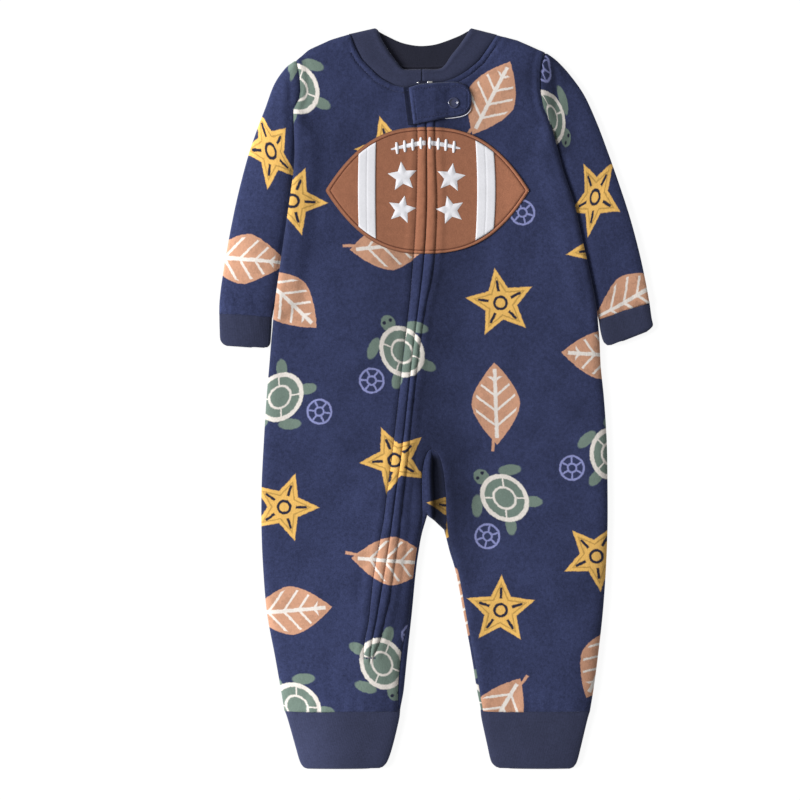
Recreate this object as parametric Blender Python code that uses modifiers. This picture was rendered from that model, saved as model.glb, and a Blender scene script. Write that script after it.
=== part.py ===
"""Footless onesie pajama laid flat on its back: cloth walls, bands, cuffs, zip and trim.

Lengths are in millimetres until Section "making objects" turns them into metres.
x runs to the wearer's left, y toward the head and z up from the floor. "Right" and
"left" in names are the wearer's.
"""

import math
from bisect import bisect_right
from collections import namedtuple

import bmesh
import bpy

MM = 0.001

# ------------------------------------------------------------------ driving sizes
FLEECE = 2.0  # wall of the printed cloth
KNIT = 1.8  # wall of the folded cuffs and band
SEAM_GAP = 0.3
AIR = 3.0  # air between back and front in mid body
EDGE_ROLL = 9.0  # how far in the front rounds down to its side seams
EDGE_INSET = 0.95  # from the outline to the middle of the wall there
BACK_INSET = 1.4  # the back's rim hides under the rounded front

HEM_Y = -289.0
CHEST_Y = 250.0  # rows above this fan out to shoulder and neck
ARCH_Y = -47.0  # top of the seam arch at the crotch
TUCK = 10.0  # how far a sleeve lies under the body's side
TUCK_LIFT = 4.9
SLIT_HALF = 1.2
ZIP_END_Y = -239.0
LIP_RISE = 1.2
LIP_REACH = 9.5
CROTCH_WALL = 1.6  # stretched thinner round the fold
CROTCH_DIP = 0.77  # share of the front's height lost in the crotch fold
TAPE_HALF = 4.5
TAPE_THICK = 1.0
TAPE_DIP_Y = 266.0  # where the tape drops to run under the neckband
SLIDER_Y = 290.0
SLIDER_SIZE = (11.4, 11.0, 1.4)
SLIDER_Z = 9.2
PULL_SIZE = (5.0, 17.0, 1.0)

BACK_Z = FLEECE / 2
SEAM_Z = FLEECE + SEAM_GAP + 0.45
FRONT_Z = FLEECE + AIR + FLEECE / 2

# ------------------------------------------------------------------ pattern tables
Side = namedtuple("Side", "y right left")
SIDES = (
    Side(-300, -138.5, 142), Side(-289, -140.5, 143.7), Side(-270, -143.7, 146.8),
    Side(-240, -149, 150.8), Side(-200, -156.4, 156.4), Side(-160, -160, 158.2),
    Side(-120, -161.7, 159.8), Side(-80, -161.5, 159.8), Side(-40, -159.5, 159.1),
    Side(0, -157, 156.5), Side(30, -154.5, 153.5), Side(60, -152, 152), Side(90, -149, 148.5),
    Side(120, -144.8, 142.5), Side(150, -140.5, 135.7), Side(180, -136.1, 129),
    Side(210, -132, 119), Side(225, -130.8, 114), Side(240, -130, 109.5), Side(255, -130.1, 105.5),
    Side(271, -130.6, 101),
)

Zip = namedtuple("Zip", "y x")
ZIP_LINE = (
    Zip(-260, -61.5), Zip(-239, -60), Zip(-225, -58.3), Zip(-193, -52.9), Zip(-160, -47.7),
    Zip(-126, -42.8), Zip(-84, -37.1), Zip(-48, -31.9), Zip(-6, -27.1), Zip(34, -22.9),
    Zip(72, -18.3), Zip(105, -14.1), Zip(136, -10.9), Zip(176, -8.7), Zip(212, -8.6),
    Zip(254, -9.2), Zip(288, -12.5), Zip(310, -13.5),
)

Inner = namedtuple("Inner", "y right left")
INNER_LEGS = (
    Inner(-300, -33.6, 43), Inner(-289, -32.4, 41.6), Inner(-270, -29.1, 38.1),
    Inner(-240, -26.1, 33.3), Inner(-200, -21.8, 25.9), Inner(-160, -17.9, 18.2),
    Inner(-140, -15.1, 12.3), Inner(-124, -12, 8.4), Inner(-108, -7, 5),
)
CROTCH_RIGHT = (-7.0, -108.3)
CROTCH_LEFT = (8.0, -122.5)

# seam where the front meets the crotch piece: the arch, then down the inner legs
Arch = namedtuple("Arch", "y right left")
ARCH = (
    Arch(-290, -35.3, 44.5), Arch(-278, -35.2, 42.4), Arch(-262, -34.8, 39.8),
    Arch(-243, -33, 36.7), Arch(-225, -30.4, 33.4), Arch(-207, -25.4, 30), Arch(-190, -23.6, 27),
    Arch(-160, -20.6, 21.2), Arch(-140, -17.8, 15.3), Arch(-125, -14.8, 12),
    Arch(-108, -12.6, 10.4), Arch(-92, -13, 9.9), Arch(-76, -13.2, 8.6), Arch(-65, -12.4, 7),
    Arch(-57, -10.7, 5), Arch(-51, -8.6, 2.2), Arch(-48, -6.4, -1.4), Arch(-47, -4.2, -4.2),
)

Point = namedtuple("Point", "x y")
RIGHT_SHOULDER = (Point(-128.8, 314.4), Point(-117.6, 324.1), Point(-97.2, 333.4), Point(-79.8, 338.6))
LEFT_SHOULDER = (Point(56.8, 337.6), Point(75.8, 334), Point(88.8, 328), Point(101.4, 321.6))
RIGHT_NECK = (
    Point(-79.8, 338), Point(-75.6, 327.2), Point(-69, 315.4), Point(-61, 306.8),
    Point(-51.4, 297.6), Point(-38.4, 290.6), Point(-25.6, 288.2), Point(-12.4, 288),
)
LEFT_NECK = (
    Point(-12.4, 288), Point(-4, 291), Point(8.6, 294.3), Point(18.2, 297.6), Point(30.2, 304.8),
    Point(41, 314.2), Point(50.2, 327.2), Point(56.8, 337),
)
BACK_NECK = (
    Point(-81, 336), Point(-76.6, 327), Point(-66, 317.8), Point(-51, 312), Point(-33, 309.5),
    Point(-13, 308.7), Point(8, 309.6), Point(27, 313.1), Point(43, 319.6), Point(53, 327),
    Point(58, 335),
)
# armhole seams, from the shoulder to the underarm
RIGHT_ARMHOLE = (
    Point(-128.8, 314.4), Point(-126.2, 305), Point(-125, 296), Point(-124.6, 286),
    Point(-126, 277.5), Point(-130.6, 271),
)
LEFT_ARMHOLE = (
    Point(101.4, 321.6), Point(97.6, 311), Point(96.2, 300), Point(96.4, 284), Point(99.2, 270),
    Point(105.3, 257),
)
RIGHT_UNDERARM_Y = 271.0
LEFT_UNDERARM_Y = 257.0

# one row for each ring of a flattened tube: its outer and inner fold on the floor, the
# height of its upper wall beside each fold and between them, its share of the armhole's curve
Ring = namedtuple("Ring", "outer_x outer_y inner_x inner_y outer_z middle_z inner_z curve")
RIGHT_SLEEVE = (
    Ring(-131.4, 313.2, -131.9, 271, 4.6, 6, 4.4, 1),
    Ring(-140, 306.2, -131.5, 260.5, 4.6, 6, 3.8, 0.5),
    Ring(-150, 291.5, -127.5, 249, 4.6, 6, 3.4, 0.15),
    Ring(-158, 270, -123.6, 235, 4.6, 6, 3.4, 0),
    Ring(-166, 249, -122, 215, 4.6, 6, 3.4, 0),
    Ring(-175, 222, -124.5, 192, 4.6, 6, 3.4, 0),
    Ring(-184.5, 185, -129, 165, 4.6, 6, 3.4, 0),
    Ring(-192, 148, -134, 135, 4.6, 6, 3.4, 0),
    Ring(-198, 112, -141, 108, 4.6, 6, 3.6, 0),
    Ring(-200.5, 92, -149, 87, 4.6, 6, 4, 0),
    Ring(-201, 78.6, -151.6, 75, 4.6, 5.6, 4.4, 0),
)
LEFT_SLEEVE = (
    Ring(104, 320.2, 106.3, 257, 4.6, 6, 4.6, 1),
    Ring(113, 313.4, 108.8, 246.5, 4.6, 6, 3.8, 0.5),
    Ring(124.5, 301, 106.4, 236, 4.6, 6, 3.4, 0.15),
    Ring(138, 282, 105.8, 221, 4.6, 6, 3.4, 0),
    Ring(149.5, 257, 112.4, 201, 4.6, 6, 3.4, 0),
    Ring(159, 232, 119, 180, 4.6, 6, 3.4, 0),
    Ring(171, 198, 124.8, 155, 4.6, 6, 3.4, 0),
    Ring(181, 167, 131, 131, 4.6, 6, 3.4, 0),
    Ring(189.5, 135, 139.5, 106, 4.6, 6, 3.6, 0),
    Ring(195.5, 107, 148.4, 84.5, 4.6, 6, 4, 0),
    Ring(198.8, 88.6, 151.4, 73.4, 4.6, 5.6, 4.4, 0),
)
RIGHT_WRIST = (
    Ring(-200.9, 77.9, -151.8, 74.3, 4.2, 5.2, 4.2, 0),
    Ring(-200.6, 64, -152.6, 61, 4.2, 5, 4.2, 0),
    Ring(-200, 52, -153.4, 51, 4.2, 4.8, 4.2, 0),
    Ring(-199, 48.4, -155.8, 45.6, 4, 4.4, 4, 0),
)
LEFT_WRIST = (
    Ring(199, 88, 151.6, 72.6, 4.2, 5.2, 4.2, 0),
    Ring(200.8, 75, 153.4, 61.5, 4.2, 5, 4.2, 0),
    Ring(202.4, 66, 156, 52, 4.2, 4.8, 4.2, 0),
    Ring(201.6, 62.4, 161.5, 47.8, 4, 4.4, 4, 0),
)
RIGHT_ANKLE = (
    Ring(-140, -290.2, -32.8, -290.2, 4.4, 5.6, 4.4, 0),
    Ring(-137, -299, -34, -299, 4.4, 5.4, 4.4, 0),
    Ring(-130.5, -322, -39.5, -322, 4.4, 5.2, 4.4, 0),
    Ring(-126, -338, -44.5, -338, 4.2, 5, 4.2, 0),
    Ring(-121.5, -344.2, -49.5, -344.2, 4, 4.4, 4, 0),
)
LEFT_ANKLE = (
    Ring(143.6, -290.2, 41.8, -290.2, 4.4, 5.6, 4.4, 0),
    Ring(141, -299, 43, -299, 4.4, 5.4, 4.4, 0),
    Ring(135.5, -322, 48, -322, 4.4, 5.2, 4.4, 0),
    Ring(131.5, -338, 51.5, -338, 4.2, 5, 4.2, 0),
    Ring(127, -344.2, 56.5, -344.2, 4, 4.4, 4, 0),
)

# one row for each section across the neckband, from its seam to its free edge
Band = namedtuple("Band", "seam_x seam_y free_x free_y z")
NECKBAND = (
    Band(-14.2, 288.5, -14.2, 306.2, 6), Band(-25.7, 288.7, -22.5, 306, 6),
    Band(-38.3, 291.3, -30.5, 305.4, 6), Band(-51, 298.4, -37.5, 313.5, 6),
    Band(-60.3, 307.5, -44.5, 323.2, 6), Band(-67.8, 316, -51, 334, 5.9),
    Band(-74, 327.6, -53, 341, 5.4), Band(-77.2, 336, -54.6, 344, 4.6), Band(-78.6, 340, -56, 344.9, 3),
    Band(-77, 335.6, -54.6, 343.8, 1.7), Band(-73.6, 327.5, -52, 341.4, 1.1),
    Band(-64, 318.6, -45.5, 337, 0.9), Band(-50, 312.6, -33.6, 331.4, 0.9),
    Band(-33, 309.8, -23, 328.6, 0.9), Band(-13, 309, -13, 327.6, 0.9), Band(8, 310, -2, 328.6, 0.9),
    Band(26, 313.4, 9, 331.8, 0.9), Band(41, 320, 22, 337, 0.9), Band(50.4, 327.5, 29.5, 341, 1.1),
    Band(54, 335, 32, 343.6, 1.7), Band(55.6, 338.8, 33.4, 344.9, 3), Band(54, 335, 31.8, 343.6, 4.6),
    Band(48.8, 327.6, 30, 338.5, 5.4), Band(40.2, 315, 22.5, 327.5, 5.9), Band(29.6, 305.5, 15, 318, 6),
    Band(17.9, 298.2, 8.6, 308.4, 6), Band(8.4, 294.8, 4, 306, 6), Band(-10.8, 289.4, -10.8, 306, 6),
)

# chest patch: a pointed oval set round the zip
PATCH_X = -7.6
PATCH_Y = 192.8
PATCH_HALF_LENGTH = 94.0
PATCH_HALF_HEIGHT = 58.4
PATCH_POINT = 2.6  # 2 is a parabola, more is fuller
PATCH_THICK = 1.2
STRIPE_THICK = 0.6
STRIPE_MARGIN = 5.5
STRIPE_RIGHT = (-72.5, -55.3)
STRIPE_LEFT = (37.2, 55.8)

# guard over the zip's top: sections across it, from its fold to its round end
Guard = namedtuple("Guard", "x low_y high_y")
GUARD = (
    Guard(-26.6, 253.6, 288.2), Guard(-24, 253.8, 289), Guard(-16, 255.2, 291), Guard(-4, 257, 292),
    Guard(8, 259.6, 293), Guard(16, 260.8, 293.4), Guard(22, 261.8, 292.8), Guard(27.5, 263.8, 290.6),
    Guard(31, 267.6, 286.6), Guard(33, 273.6, 280.6),
)
GUARD_THICK = 2.4
GUARD_LOW_Z = 8.9
GUARD_HIGH_Z = 11.6
SNAP_X = 16.6
SNAP_Y = 275.8
SNAP_RADIUS = 6.0
SNAP_WIRE = 0.9


# ------------------------------------------------------------------ curves and heights
def spline(places, values, at):
    """Value at a place on a smooth curve through values at rising places."""
    last = len(places) - 1
    place = min(max(at, places[0]), places[last])
    low = min(max(bisect_right(places, place) - 1, 0), last - 1)
    span = places[low + 1] - places[low]
    t = (place - places[low]) / span

    def slope(index):
        before = max(index - 1, 0)
        after = min(index + 1, last)
        return (values[after] - values[before]) / (places[after] - places[before]) * span

    start = values[low] * (1 + 2 * t) * (1 - t) ** 2 + slope(low) * t * (1 - t) ** 2
    end = values[low + 1] * (3 - 2 * t) * t ** 2 - slope(low + 1) * (1 - t) * t ** 2
    return start + end


def smooth(rows, key, value, at):
    """Read one column of a table between its rows."""
    return spline([getattr(row, key) for row in rows], [getattr(row, value) for row in rows], at)


def between(rows, number):
    """A row of a table at a fractional row number."""
    numbers = range(len(rows))
    return type(rows[0])(*(spline(numbers, column, number) for column in zip(*rows)))


def side_right(y):
    return smooth(SIDES, "y", "right", y)


def side_left(y):
    return smooth(SIDES, "y", "left", y)


def inner_right(y):
    return smooth(INNER_LEGS, "y", "right", y)


def inner_left(y):
    return smooth(INNER_LEGS, "y", "left", y)


def arch_right(y):
    return smooth(ARCH, "y", "right", y)


def arch_left(y):
    return smooth(ARCH, "y", "left", y)


def zip_x(y):
    return smooth(ZIP_LINE, "y", "x", y)


def ease(low, high, value):
    """Smooth step from 0 at low to 1 at high."""
    t = min(max((value - low) / (high - low), 0.0), 1.0)
    return t * t * (3 - 2 * t)


def roll(distance, reach):
    """Quarter-round rise of a folded edge, 0 at the edge and 1 past its reach."""
    inside = 1.0 - min(max(distance / reach, 0.0), 1.0)
    return math.sqrt(1.0 - inside * inside)


def distance_to(path, x, y):
    """Shortest distance from a place to a run of straight stretches."""
    nearest = math.inf
    for (ax, ay), (bx, by) in zip(path, path[1:]):
        run_x = bx - ax
        run_y = by - ay
        t = ((x - ax) * run_x + (y - ay) * run_y) / (run_x ** 2 + run_y ** 2)
        t = min(max(t, 0.0), 1.0)
        nearest = min(nearest, math.hypot(x - ax - t * run_x, y - ay - t * run_y))
    return nearest


def along(path, t):
    """Place at a fraction of a path's length."""
    lengths = [math.dist(a, b) for a, b in zip(path, path[1:])]
    left = t * sum(lengths)
    for (a, b), length in zip(zip(path, path[1:]), lengths):
        if left <= length or b is path[-1]:
            f = min(left / length, 1.0)
            return a[0] + (b[0] - a[0]) * f, a[1] + (b[1] - a[1]) * f
        left -= length


def leg_gap_path():
    """The opening between the legs, from one hem round the crotch to the other."""
    heights = (-300, -270, -240, -200, -160, -140, -125)
    right = [(inner_right(y) - EDGE_INSET, y) for y in heights]
    left = [(inner_left(y) + EDGE_INSET, y) for y in heights]
    right.append((CROTCH_RIGHT[0] - 0.7, CROTCH_RIGHT[1] + 0.7))
    left.append((CROTCH_LEFT[0] + 0.5, CROTCH_LEFT[1] + 0.9))
    return right + left[::-1]


LEG_GAP = leg_gap_path()


def side_lift(inside, y, underarm_y):
    """Rise of one side over its sleeve: widest in the middle, running out at both ends."""
    tuck = TUCK * ease(64, 96, y) * (1 - ease(underarm_y - 38, underarm_y - 8, y))
    along_side = ease(LIFT_ROWS[0], LIFT_ROWS[-1], y)
    along_side *= 1 - ease(underarm_y - 10, underarm_y + 1, y)
    return along_side * (1 - ease(tuck + 2, tuck * 1.6 + 13, inside))


def lift(x, y):
    """How far the body's sides are raised by the sleeves that lie under them."""
    right = side_lift(x - side_right(y), y, RIGHT_UNDERARM_Y)
    left = side_lift(side_left(y) - x, y, LEFT_UNDERARM_Y)
    return TUCK_LIFT * max(right, left)


def zip_lip(x, y):
    """Raised fold on each side of the zip."""
    along_zip = ease(ZIP_END_Y - 8, ZIP_END_Y + 3, y)
    return LIP_RISE * along_zip * (1 - ease(LIP_REACH / 2, LIP_REACH, abs(x - zip_x(y))))


def side_roll(distance, y, underarm_y):
    """Rounding at a side seam, gone where the sleeve is sewn on above it."""
    closed = 1 - ease(underarm_y - 7, underarm_y + 7, y)
    return 1 - closed * (1 - roll(distance, EDGE_ROLL))


def front_height(x, y):
    """Middle of the front's wall above the floor."""
    raised = lift(x, y)
    pressed = raised / TUCK_LIFT
    seam = SEAM_Z + 0.5 * pressed
    rise = FRONT_Z - seam - (AIR - 1.2) * pressed
    rise *= side_roll(x - side_right(y) - EDGE_INSET, y, RIGHT_UNDERARM_Y)
    rise *= side_roll(side_left(y) - EDGE_INSET - x, y, LEFT_UNDERARM_Y)
    rise *= roll(distance_to(RIGHT_SHOULDER, x, y), EDGE_ROLL)
    rise *= roll(distance_to(LEFT_SHOULDER, x, y), EDGE_ROLL)
    rise *= roll(distance_to(LEG_GAP, x, y), EDGE_ROLL)
    return raised + seam + rise + zip_lip(x, y)


def back_height(x, y):
    return BACK_Z + lift(x, y)


# ------------------------------------------------------------------ making objects
def new_collection(name):
    collection = bpy.data.collections.new(name)
    bpy.context.scene.collection.children.link(collection)
    return collection


def material(name, color, roughness, metallic=0.0):
    mat = bpy.data.materials.new(name)
    mat.use_nodes = True
    principled = mat.node_tree.nodes["Principled BSDF"]
    principled.inputs["Base Color"].default_value = (*color, 1.0)
    principled.inputs["Roughness"].default_value = roughness
    principled.inputs["Metallic"].default_value = metallic
    return mat


def add_object(bm, name, mat, collection, thick=0.0, even_wall=True):
    """Finish a mesh in metres, with a wall on both sides of it if thick."""
    bmesh.ops.scale(bm, vec=(MM, MM, MM), verts=bm.verts)
    mesh = bpy.data.meshes.new(name)
    bm.to_mesh(mesh)
    bm.free()
    mesh.materials.append(mat)
    mesh.shade_smooth()
    obj = bpy.data.objects.new(name, mesh)
    collection.objects.link(obj)
    if thick:
        wall = obj.modifiers.new("wall", "SOLIDIFY")
        wall.thickness = thick * MM
        wall.offset = 0.0
        wall.use_even_offset = even_wall
    return obj


def add_patch(bm, columns, rows, place):
    """A grid of faces whose corners go where place(column, row) puts them."""
    made = bmesh.ops.create_grid(bm, x_segments=columns, y_segments=rows, size=0.5)
    for vert in made["verts"]:
        column = round((vert.co.x + 0.5) * columns)
        row = round((vert.co.y + 0.5) * rows)
        vert.co = place(column, row)


def add_rows(bm, rows, height):
    """A patch through rows of plan points, raised by a height function."""

    def place(column, row):
        x, y = rows[row][column]
        return x, y, height(x, y)

    add_patch(bm, len(rows[0]) - 1, len(rows) - 1, place)


def weld(bm):
    bmesh.ops.remove_doubles(bm, verts=bm.verts, dist=0.02)


def even(start, end, count):
    """count + 1 values from start to end."""
    return [start + (end - start) * i / count for i in range(count + 1)]


def across(x_from, x_to, near, far, count):
    """Columns across a section: close together at each end as asked, even between."""
    low = [x_from + step for step in near]
    high = [x_to - step for step in reversed(far)]
    return low[:-1] + even(low[-1], high[0], count) + high[1:]


def resample(path, fractions):
    return [along(path, t) for t in fractions]


ROLL_STEPS = tuple(EDGE_ROLL * (1 - math.cos(math.radians(a))) for a in (0, 28, 58, 90))
LIFT_STEPS = (12, 16.5, 20.5, 25, 30.5)  # across the slope beside a tucked sleeve
LIFT_ROWS = (64, 69, 73, 77, 82)
LIP_STEPS = (0, 2.2, 4.8, 7.2, 9.5)
NO_STEPS = (0,)


# ------------------------------------------------------------------ front and back
def front_rows():
    """Heights of the front's sections, closer at the arch and the zip's end."""
    legs = [HEM_Y, -280, -268, -254, ZIP_END_Y, -224, -207, -190, -172, -155, -140, -125, -108]
    arch = [-92, -76, -65, -57, -51, -48, ARCH_Y]
    body = [-34, -15, 8, 36, *LIFT_ROWS, 100, 120, 140, 160, 180, 198, 216, 234, 242, CHEST_Y]
    return legs, arch, body


def outer_columns(y):
    """Right part of a section, from the side seam to the zip."""
    return [(x, y) for x in across(side_right(y) + EDGE_INSET, zip_x(y) - SLIT_HALF,
                                   ROLL_STEPS + LIFT_STEPS, LIP_STEPS, 4)]


def inner_columns(y):
    """Middle part of a section, from the zip to the line above the arch's top."""
    if y < ARCH_Y:
        end = arch_right(y) - SEAM_GAP
    else:
        end = -4.2 + (y - ARCH_Y) * 0.1
    return [(x, y) for x in across(zip_x(y) + SLIT_HALF, end, LIP_STEPS, ROLL_STEPS, 2)]


def left_columns(y):
    """Left part of a section, from the line above the arch's top to the side seam."""
    if y < ARCH_Y:
        start = arch_left(y) + SEAM_GAP
    else:
        start = -4.2 + (y - ARCH_Y) * 0.1
    end = side_left(y) - EDGE_INSET
    return [(x, y) for x in across(start, end, ROLL_STEPS, ROLL_STEPS + LIFT_STEPS, 4)]


def fan(base, top, edges, steps):
    """Rows from a straight section up to a curved top, keeping to both side edges."""
    rows = []
    for step in steps:
        low_edge, high_edge = (along(edge, step) for edge in edges)
        row = []
        for index, (start, end) in enumerate(zip(base, top, strict=True)):
            across_it = index / (len(base) - 1)
            x = start[0] + (end[0] - start[0]) * step
            y = start[1] + (end[1] - start[1]) * step
            straight_low = [base[0][k] + (top[0][k] - base[0][k]) * step for k in (0, 1)]
            straight_high = [base[-1][k] + (top[-1][k] - base[-1][k]) * step for k in (0, 1)]
            x += (low_edge[0] - straight_low[0]) * (1 - across_it)
            x += (high_edge[0] - straight_high[0]) * across_it
            y += (low_edge[1] - straight_low[1]) * (1 - across_it)
            y += (high_edge[1] - straight_high[1]) * across_it
            row.append((x, y))
        rows.append(row)
    return rows


FAN_STEPS = (0, 0.08, 0.16, 0.24, 0.32, 0.45, 0.6, 0.75, 0.87, 0.95, 1)
BACK_FAN_STEPS = (0, 0.08, 0.16, 0.24, 0.32, 0.45, 0.62, 0.82, 1)


def top_edge(parts, counts):
    """Points along several joined stretches, so many on each."""
    points = []
    for path, count in zip(parts, counts):
        points += resample(path, even(0, 1, count))[:-1]
    return points + [tuple(parts[-1][-1])]


def inset_path(path, dx, dy):
    return [(x + dx, y + dy) for x, y in path]


def make_front(mat, collection):
    legs, arch, body = front_rows()
    lower = legs + arch
    bm = bmesh.new()
    add_rows(bm, [outer_columns(y) for y in lower + body], front_height)
    add_rows(bm, [inner_columns(y) for y in lower + body], front_height)
    add_rows(bm, [left_columns(y) for y in lower + body], front_height)

    base = outer_columns(CHEST_Y)
    armhole = [base[0], *inset_path(RIGHT_ARMHOLE[::-1], 4 * SEAM_GAP, 0)]
    shoulder = inset_path(RIGHT_SHOULDER, 0.3, -EDGE_INSET)
    neck = inset_path(RIGHT_NECK, -0.2, -SEAM_GAP)
    zip_edge = [base[-1], (neck[-1][0] - SLIT_HALF, neck[-1][1])]
    neck[-1] = zip_edge[-1]
    armhole[-1] = shoulder[0]
    neck[0] = shoulder[-1]
    top = top_edge((shoulder, neck), (6, 10))
    add_rows(bm, fan(base, top, (armhole, zip_edge), FAN_STEPS), front_height)

    base = inner_columns(CHEST_Y)[:-1] + left_columns(CHEST_Y)
    shoulder = inset_path(LEFT_SHOULDER, -0.3, -EDGE_INSET)
    neck = inset_path(LEFT_NECK, 0.2, -SEAM_GAP)
    zip_edge = [base[0], (neck[0][0] + SLIT_HALF, neck[0][1])]
    neck[0] = zip_edge[-1]
    neck[-1] = shoulder[0]
    armhole = [base[-1], *inset_path(LEFT_ARMHOLE[::-1], -SEAM_GAP, 0)]
    armhole[-1] = shoulder[-1]
    top = top_edge((neck, shoulder), (14, 10))
    add_rows(bm, fan(base, top, (zip_edge, armhole), FAN_STEPS), front_height)

    close_below_zip(bm)
    weld(bm)
    return add_object(bm, "front_panel", mat, collection, FLEECE)


def close_below_zip(bm):
    """Below the zip's end the two sides of the slit are one cloth."""
    for vert in bm.verts:
        if vert.co.y < ZIP_END_Y + 0.5 and abs(abs(vert.co.x - zip_x(vert.co.y)) - SLIT_HALF) < 0.01:
            vert.co.x = zip_x(vert.co.y)
            vert.co.z = front_height(vert.co.x, vert.co.y)


BACK_STEPS = (0, 8.5, *(step - 0.45 for step in LIFT_STEPS))


def back_right(y):
    """Right part of a section of the back, to the inner leg or to the crotch's line."""
    end = min(inner_right(y), CROTCH_RIGHT[0]) - BACK_INSET
    return [(x, y) for x in across(side_right(y) + BACK_INSET, end, BACK_STEPS, NO_STEPS, 4)]


def back_left(y):
    """Left part of a section of the back, from the crotch's line or the inner leg."""
    start = max(inner_left(y), CROTCH_LEFT[0]) + BACK_INSET
    return [(x, y) for x in across(start, side_left(y) - BACK_INSET, NO_STEPS, BACK_STEPS, 4)]


def make_back(mat, collection):
    """The back lies on the floor, apart from its sides over the sleeves."""
    right_crotch = CROTCH_RIGHT[1] + BACK_INSET + 0.5
    left_crotch = CROTCH_LEFT[1] + BACK_INSET + 0.5
    legs = (HEM_Y, -265, -235, -205, -175, -145)
    body = (-85, -30, 20, *LIFT_ROWS, 104, 128, 154, 182, 214, 242, CHEST_Y)
    bm = bmesh.new()
    add_rows(bm, [back_right(y) for y in (*legs, right_crotch)], back_height)
    add_rows(bm, [back_left(y) for y in (*legs, left_crotch)], back_height)
    rows = [back_right(right_crotch) + back_left(left_crotch)]
    rows += [back_right(y) + back_left(y) for y in body]
    add_rows(bm, rows, back_height)

    base = rows[-1]
    shoulder_right = inset_path(RIGHT_SHOULDER, 1.0, -BACK_INSET)
    shoulder_left = inset_path(LEFT_SHOULDER, -1.0, -BACK_INSET)
    neck = inset_path(BACK_NECK, 0, -SEAM_GAP)
    shoulder_right[-1] = neck[0]
    shoulder_left[0] = neck[-1]
    armhole_right = [base[0], *inset_path(RIGHT_ARMHOLE[::-1], BACK_INSET - 0.4, 0)]
    armhole_left = [base[-1], *inset_path(LEFT_ARMHOLE[::-1], 0.4 - BACK_INSET, 0)]
    armhole_right[-1] = shoulder_right[0]
    armhole_left[-1] = shoulder_left[-1]
    top = top_edge((shoulder_right, neck, shoulder_left), (6, 9, 6))
    add_rows(bm, fan(base, top, (armhole_right, armhole_left), BACK_FAN_STEPS), back_height)
    weld(bm)
    return add_object(bm, "back_panel", mat, collection, FLEECE)


# ------------------------------------------------------------------ crotch piece
def crotch_row(step):
    """A row of the crotch piece, from the arch's top at 0 to the crotch fold at 1."""
    y_right = ARCH_Y - 2 + (CROTCH_RIGHT[1] + 0.7 - ARCH_Y + 2) * step
    y_left = ARCH_Y - 2 + (CROTCH_LEFT[1] + 0.9 - ARCH_Y + 2) * step
    right = (arch_right(y_right) + SEAM_GAP, y_right)
    left = (arch_left(y_left) - SEAM_GAP, y_left)
    fold_right = (CROTCH_RIGHT[0] - 0.7, y_right)
    fold_left = (CROTCH_LEFT[0] + 0.5, y_left)
    share = ease(0, 1, step)
    inner_a = tuple(right[k] + (left[k] - right[k]) * 0.2 * (1 - share)
                    + (fold_right[k] - right[k]) * share for k in (0, 1))
    inner_b = tuple(left[k] + (right[k] - left[k]) * 0.2 * (1 - share)
                    + (fold_left[k] - left[k]) * share for k in (0, 1))
    corners = (right, inner_a, inner_b, left)
    row = []
    for (start, end), count in zip(zip(corners, corners[1:]), (3, 6, 3)):
        row += [tuple(start[k] + (end[k] - start[k]) * i / count for k in (0, 1))
                for i in range(count)]
    return row + [left]


def crotch_height(x, y):
    """The crotch piece dips in a fold between the legs' seams."""
    whole = front_height(x, y)
    low = arch_right(y)
    high = arch_left(y)
    across_it = min(max((x - low) / max(high - low, 1.0), 0.0), 1.0)
    hollow = math.sin(math.pi * across_it) * (1 - ease(ARCH_Y - 38, ARCH_Y - 4, y))
    hollow *= ease(CROTCH_LEFT[1], CROTCH_LEFT[1] + 8, y)
    return SEAM_Z + (whole - SEAM_Z) * (1 - CROTCH_DIP * hollow)


def make_crotch(mat, collection):
    """Cloth between the legs that wraps forward to the arch and runs down both inner legs."""
    steps = (0, 0.05, 0.12, 0.22, 0.36, 0.52, 0.68, 0.8, 0.88, 0.94, 0.98, 1)
    strips = (HEM_Y, -268, ZIP_END_Y, -224, -207, -190, -155, -140)
    bm = bmesh.new()
    add_rows(bm, [crotch_row(step) for step in reversed(steps)], crotch_height)
    bottom = crotch_row(1)

    def right_strip(y):
        return [(x, y) for x in even(arch_right(y) + SEAM_GAP, inner_right(y) - EDGE_INSET, 3)]

    def left_strip(y):
        return [(x, y) for x in even(inner_left(y) + EDGE_INSET, arch_left(y) - SEAM_GAP, 3)]

    add_rows(bm, [right_strip(y) for y in (*strips, -124)] + [bottom[:4]], crotch_height)
    add_rows(bm, [left_strip(y) for y in (*strips, -132)] + [bottom[-4:]], crotch_height)
    weld(bm)
    return add_object(bm, "crotch_piece", mat, collection, CROTCH_WALL)


# ------------------------------------------------------------------ flattened tubes
def outward(before, after, side):
    """Unit direction across an edge in plan, to the right of its run if side is 1."""
    run = math.dist(before, after)
    return side * (after[1] - before[1]) / run, side * (before[0] - after[0]) / run


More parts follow.
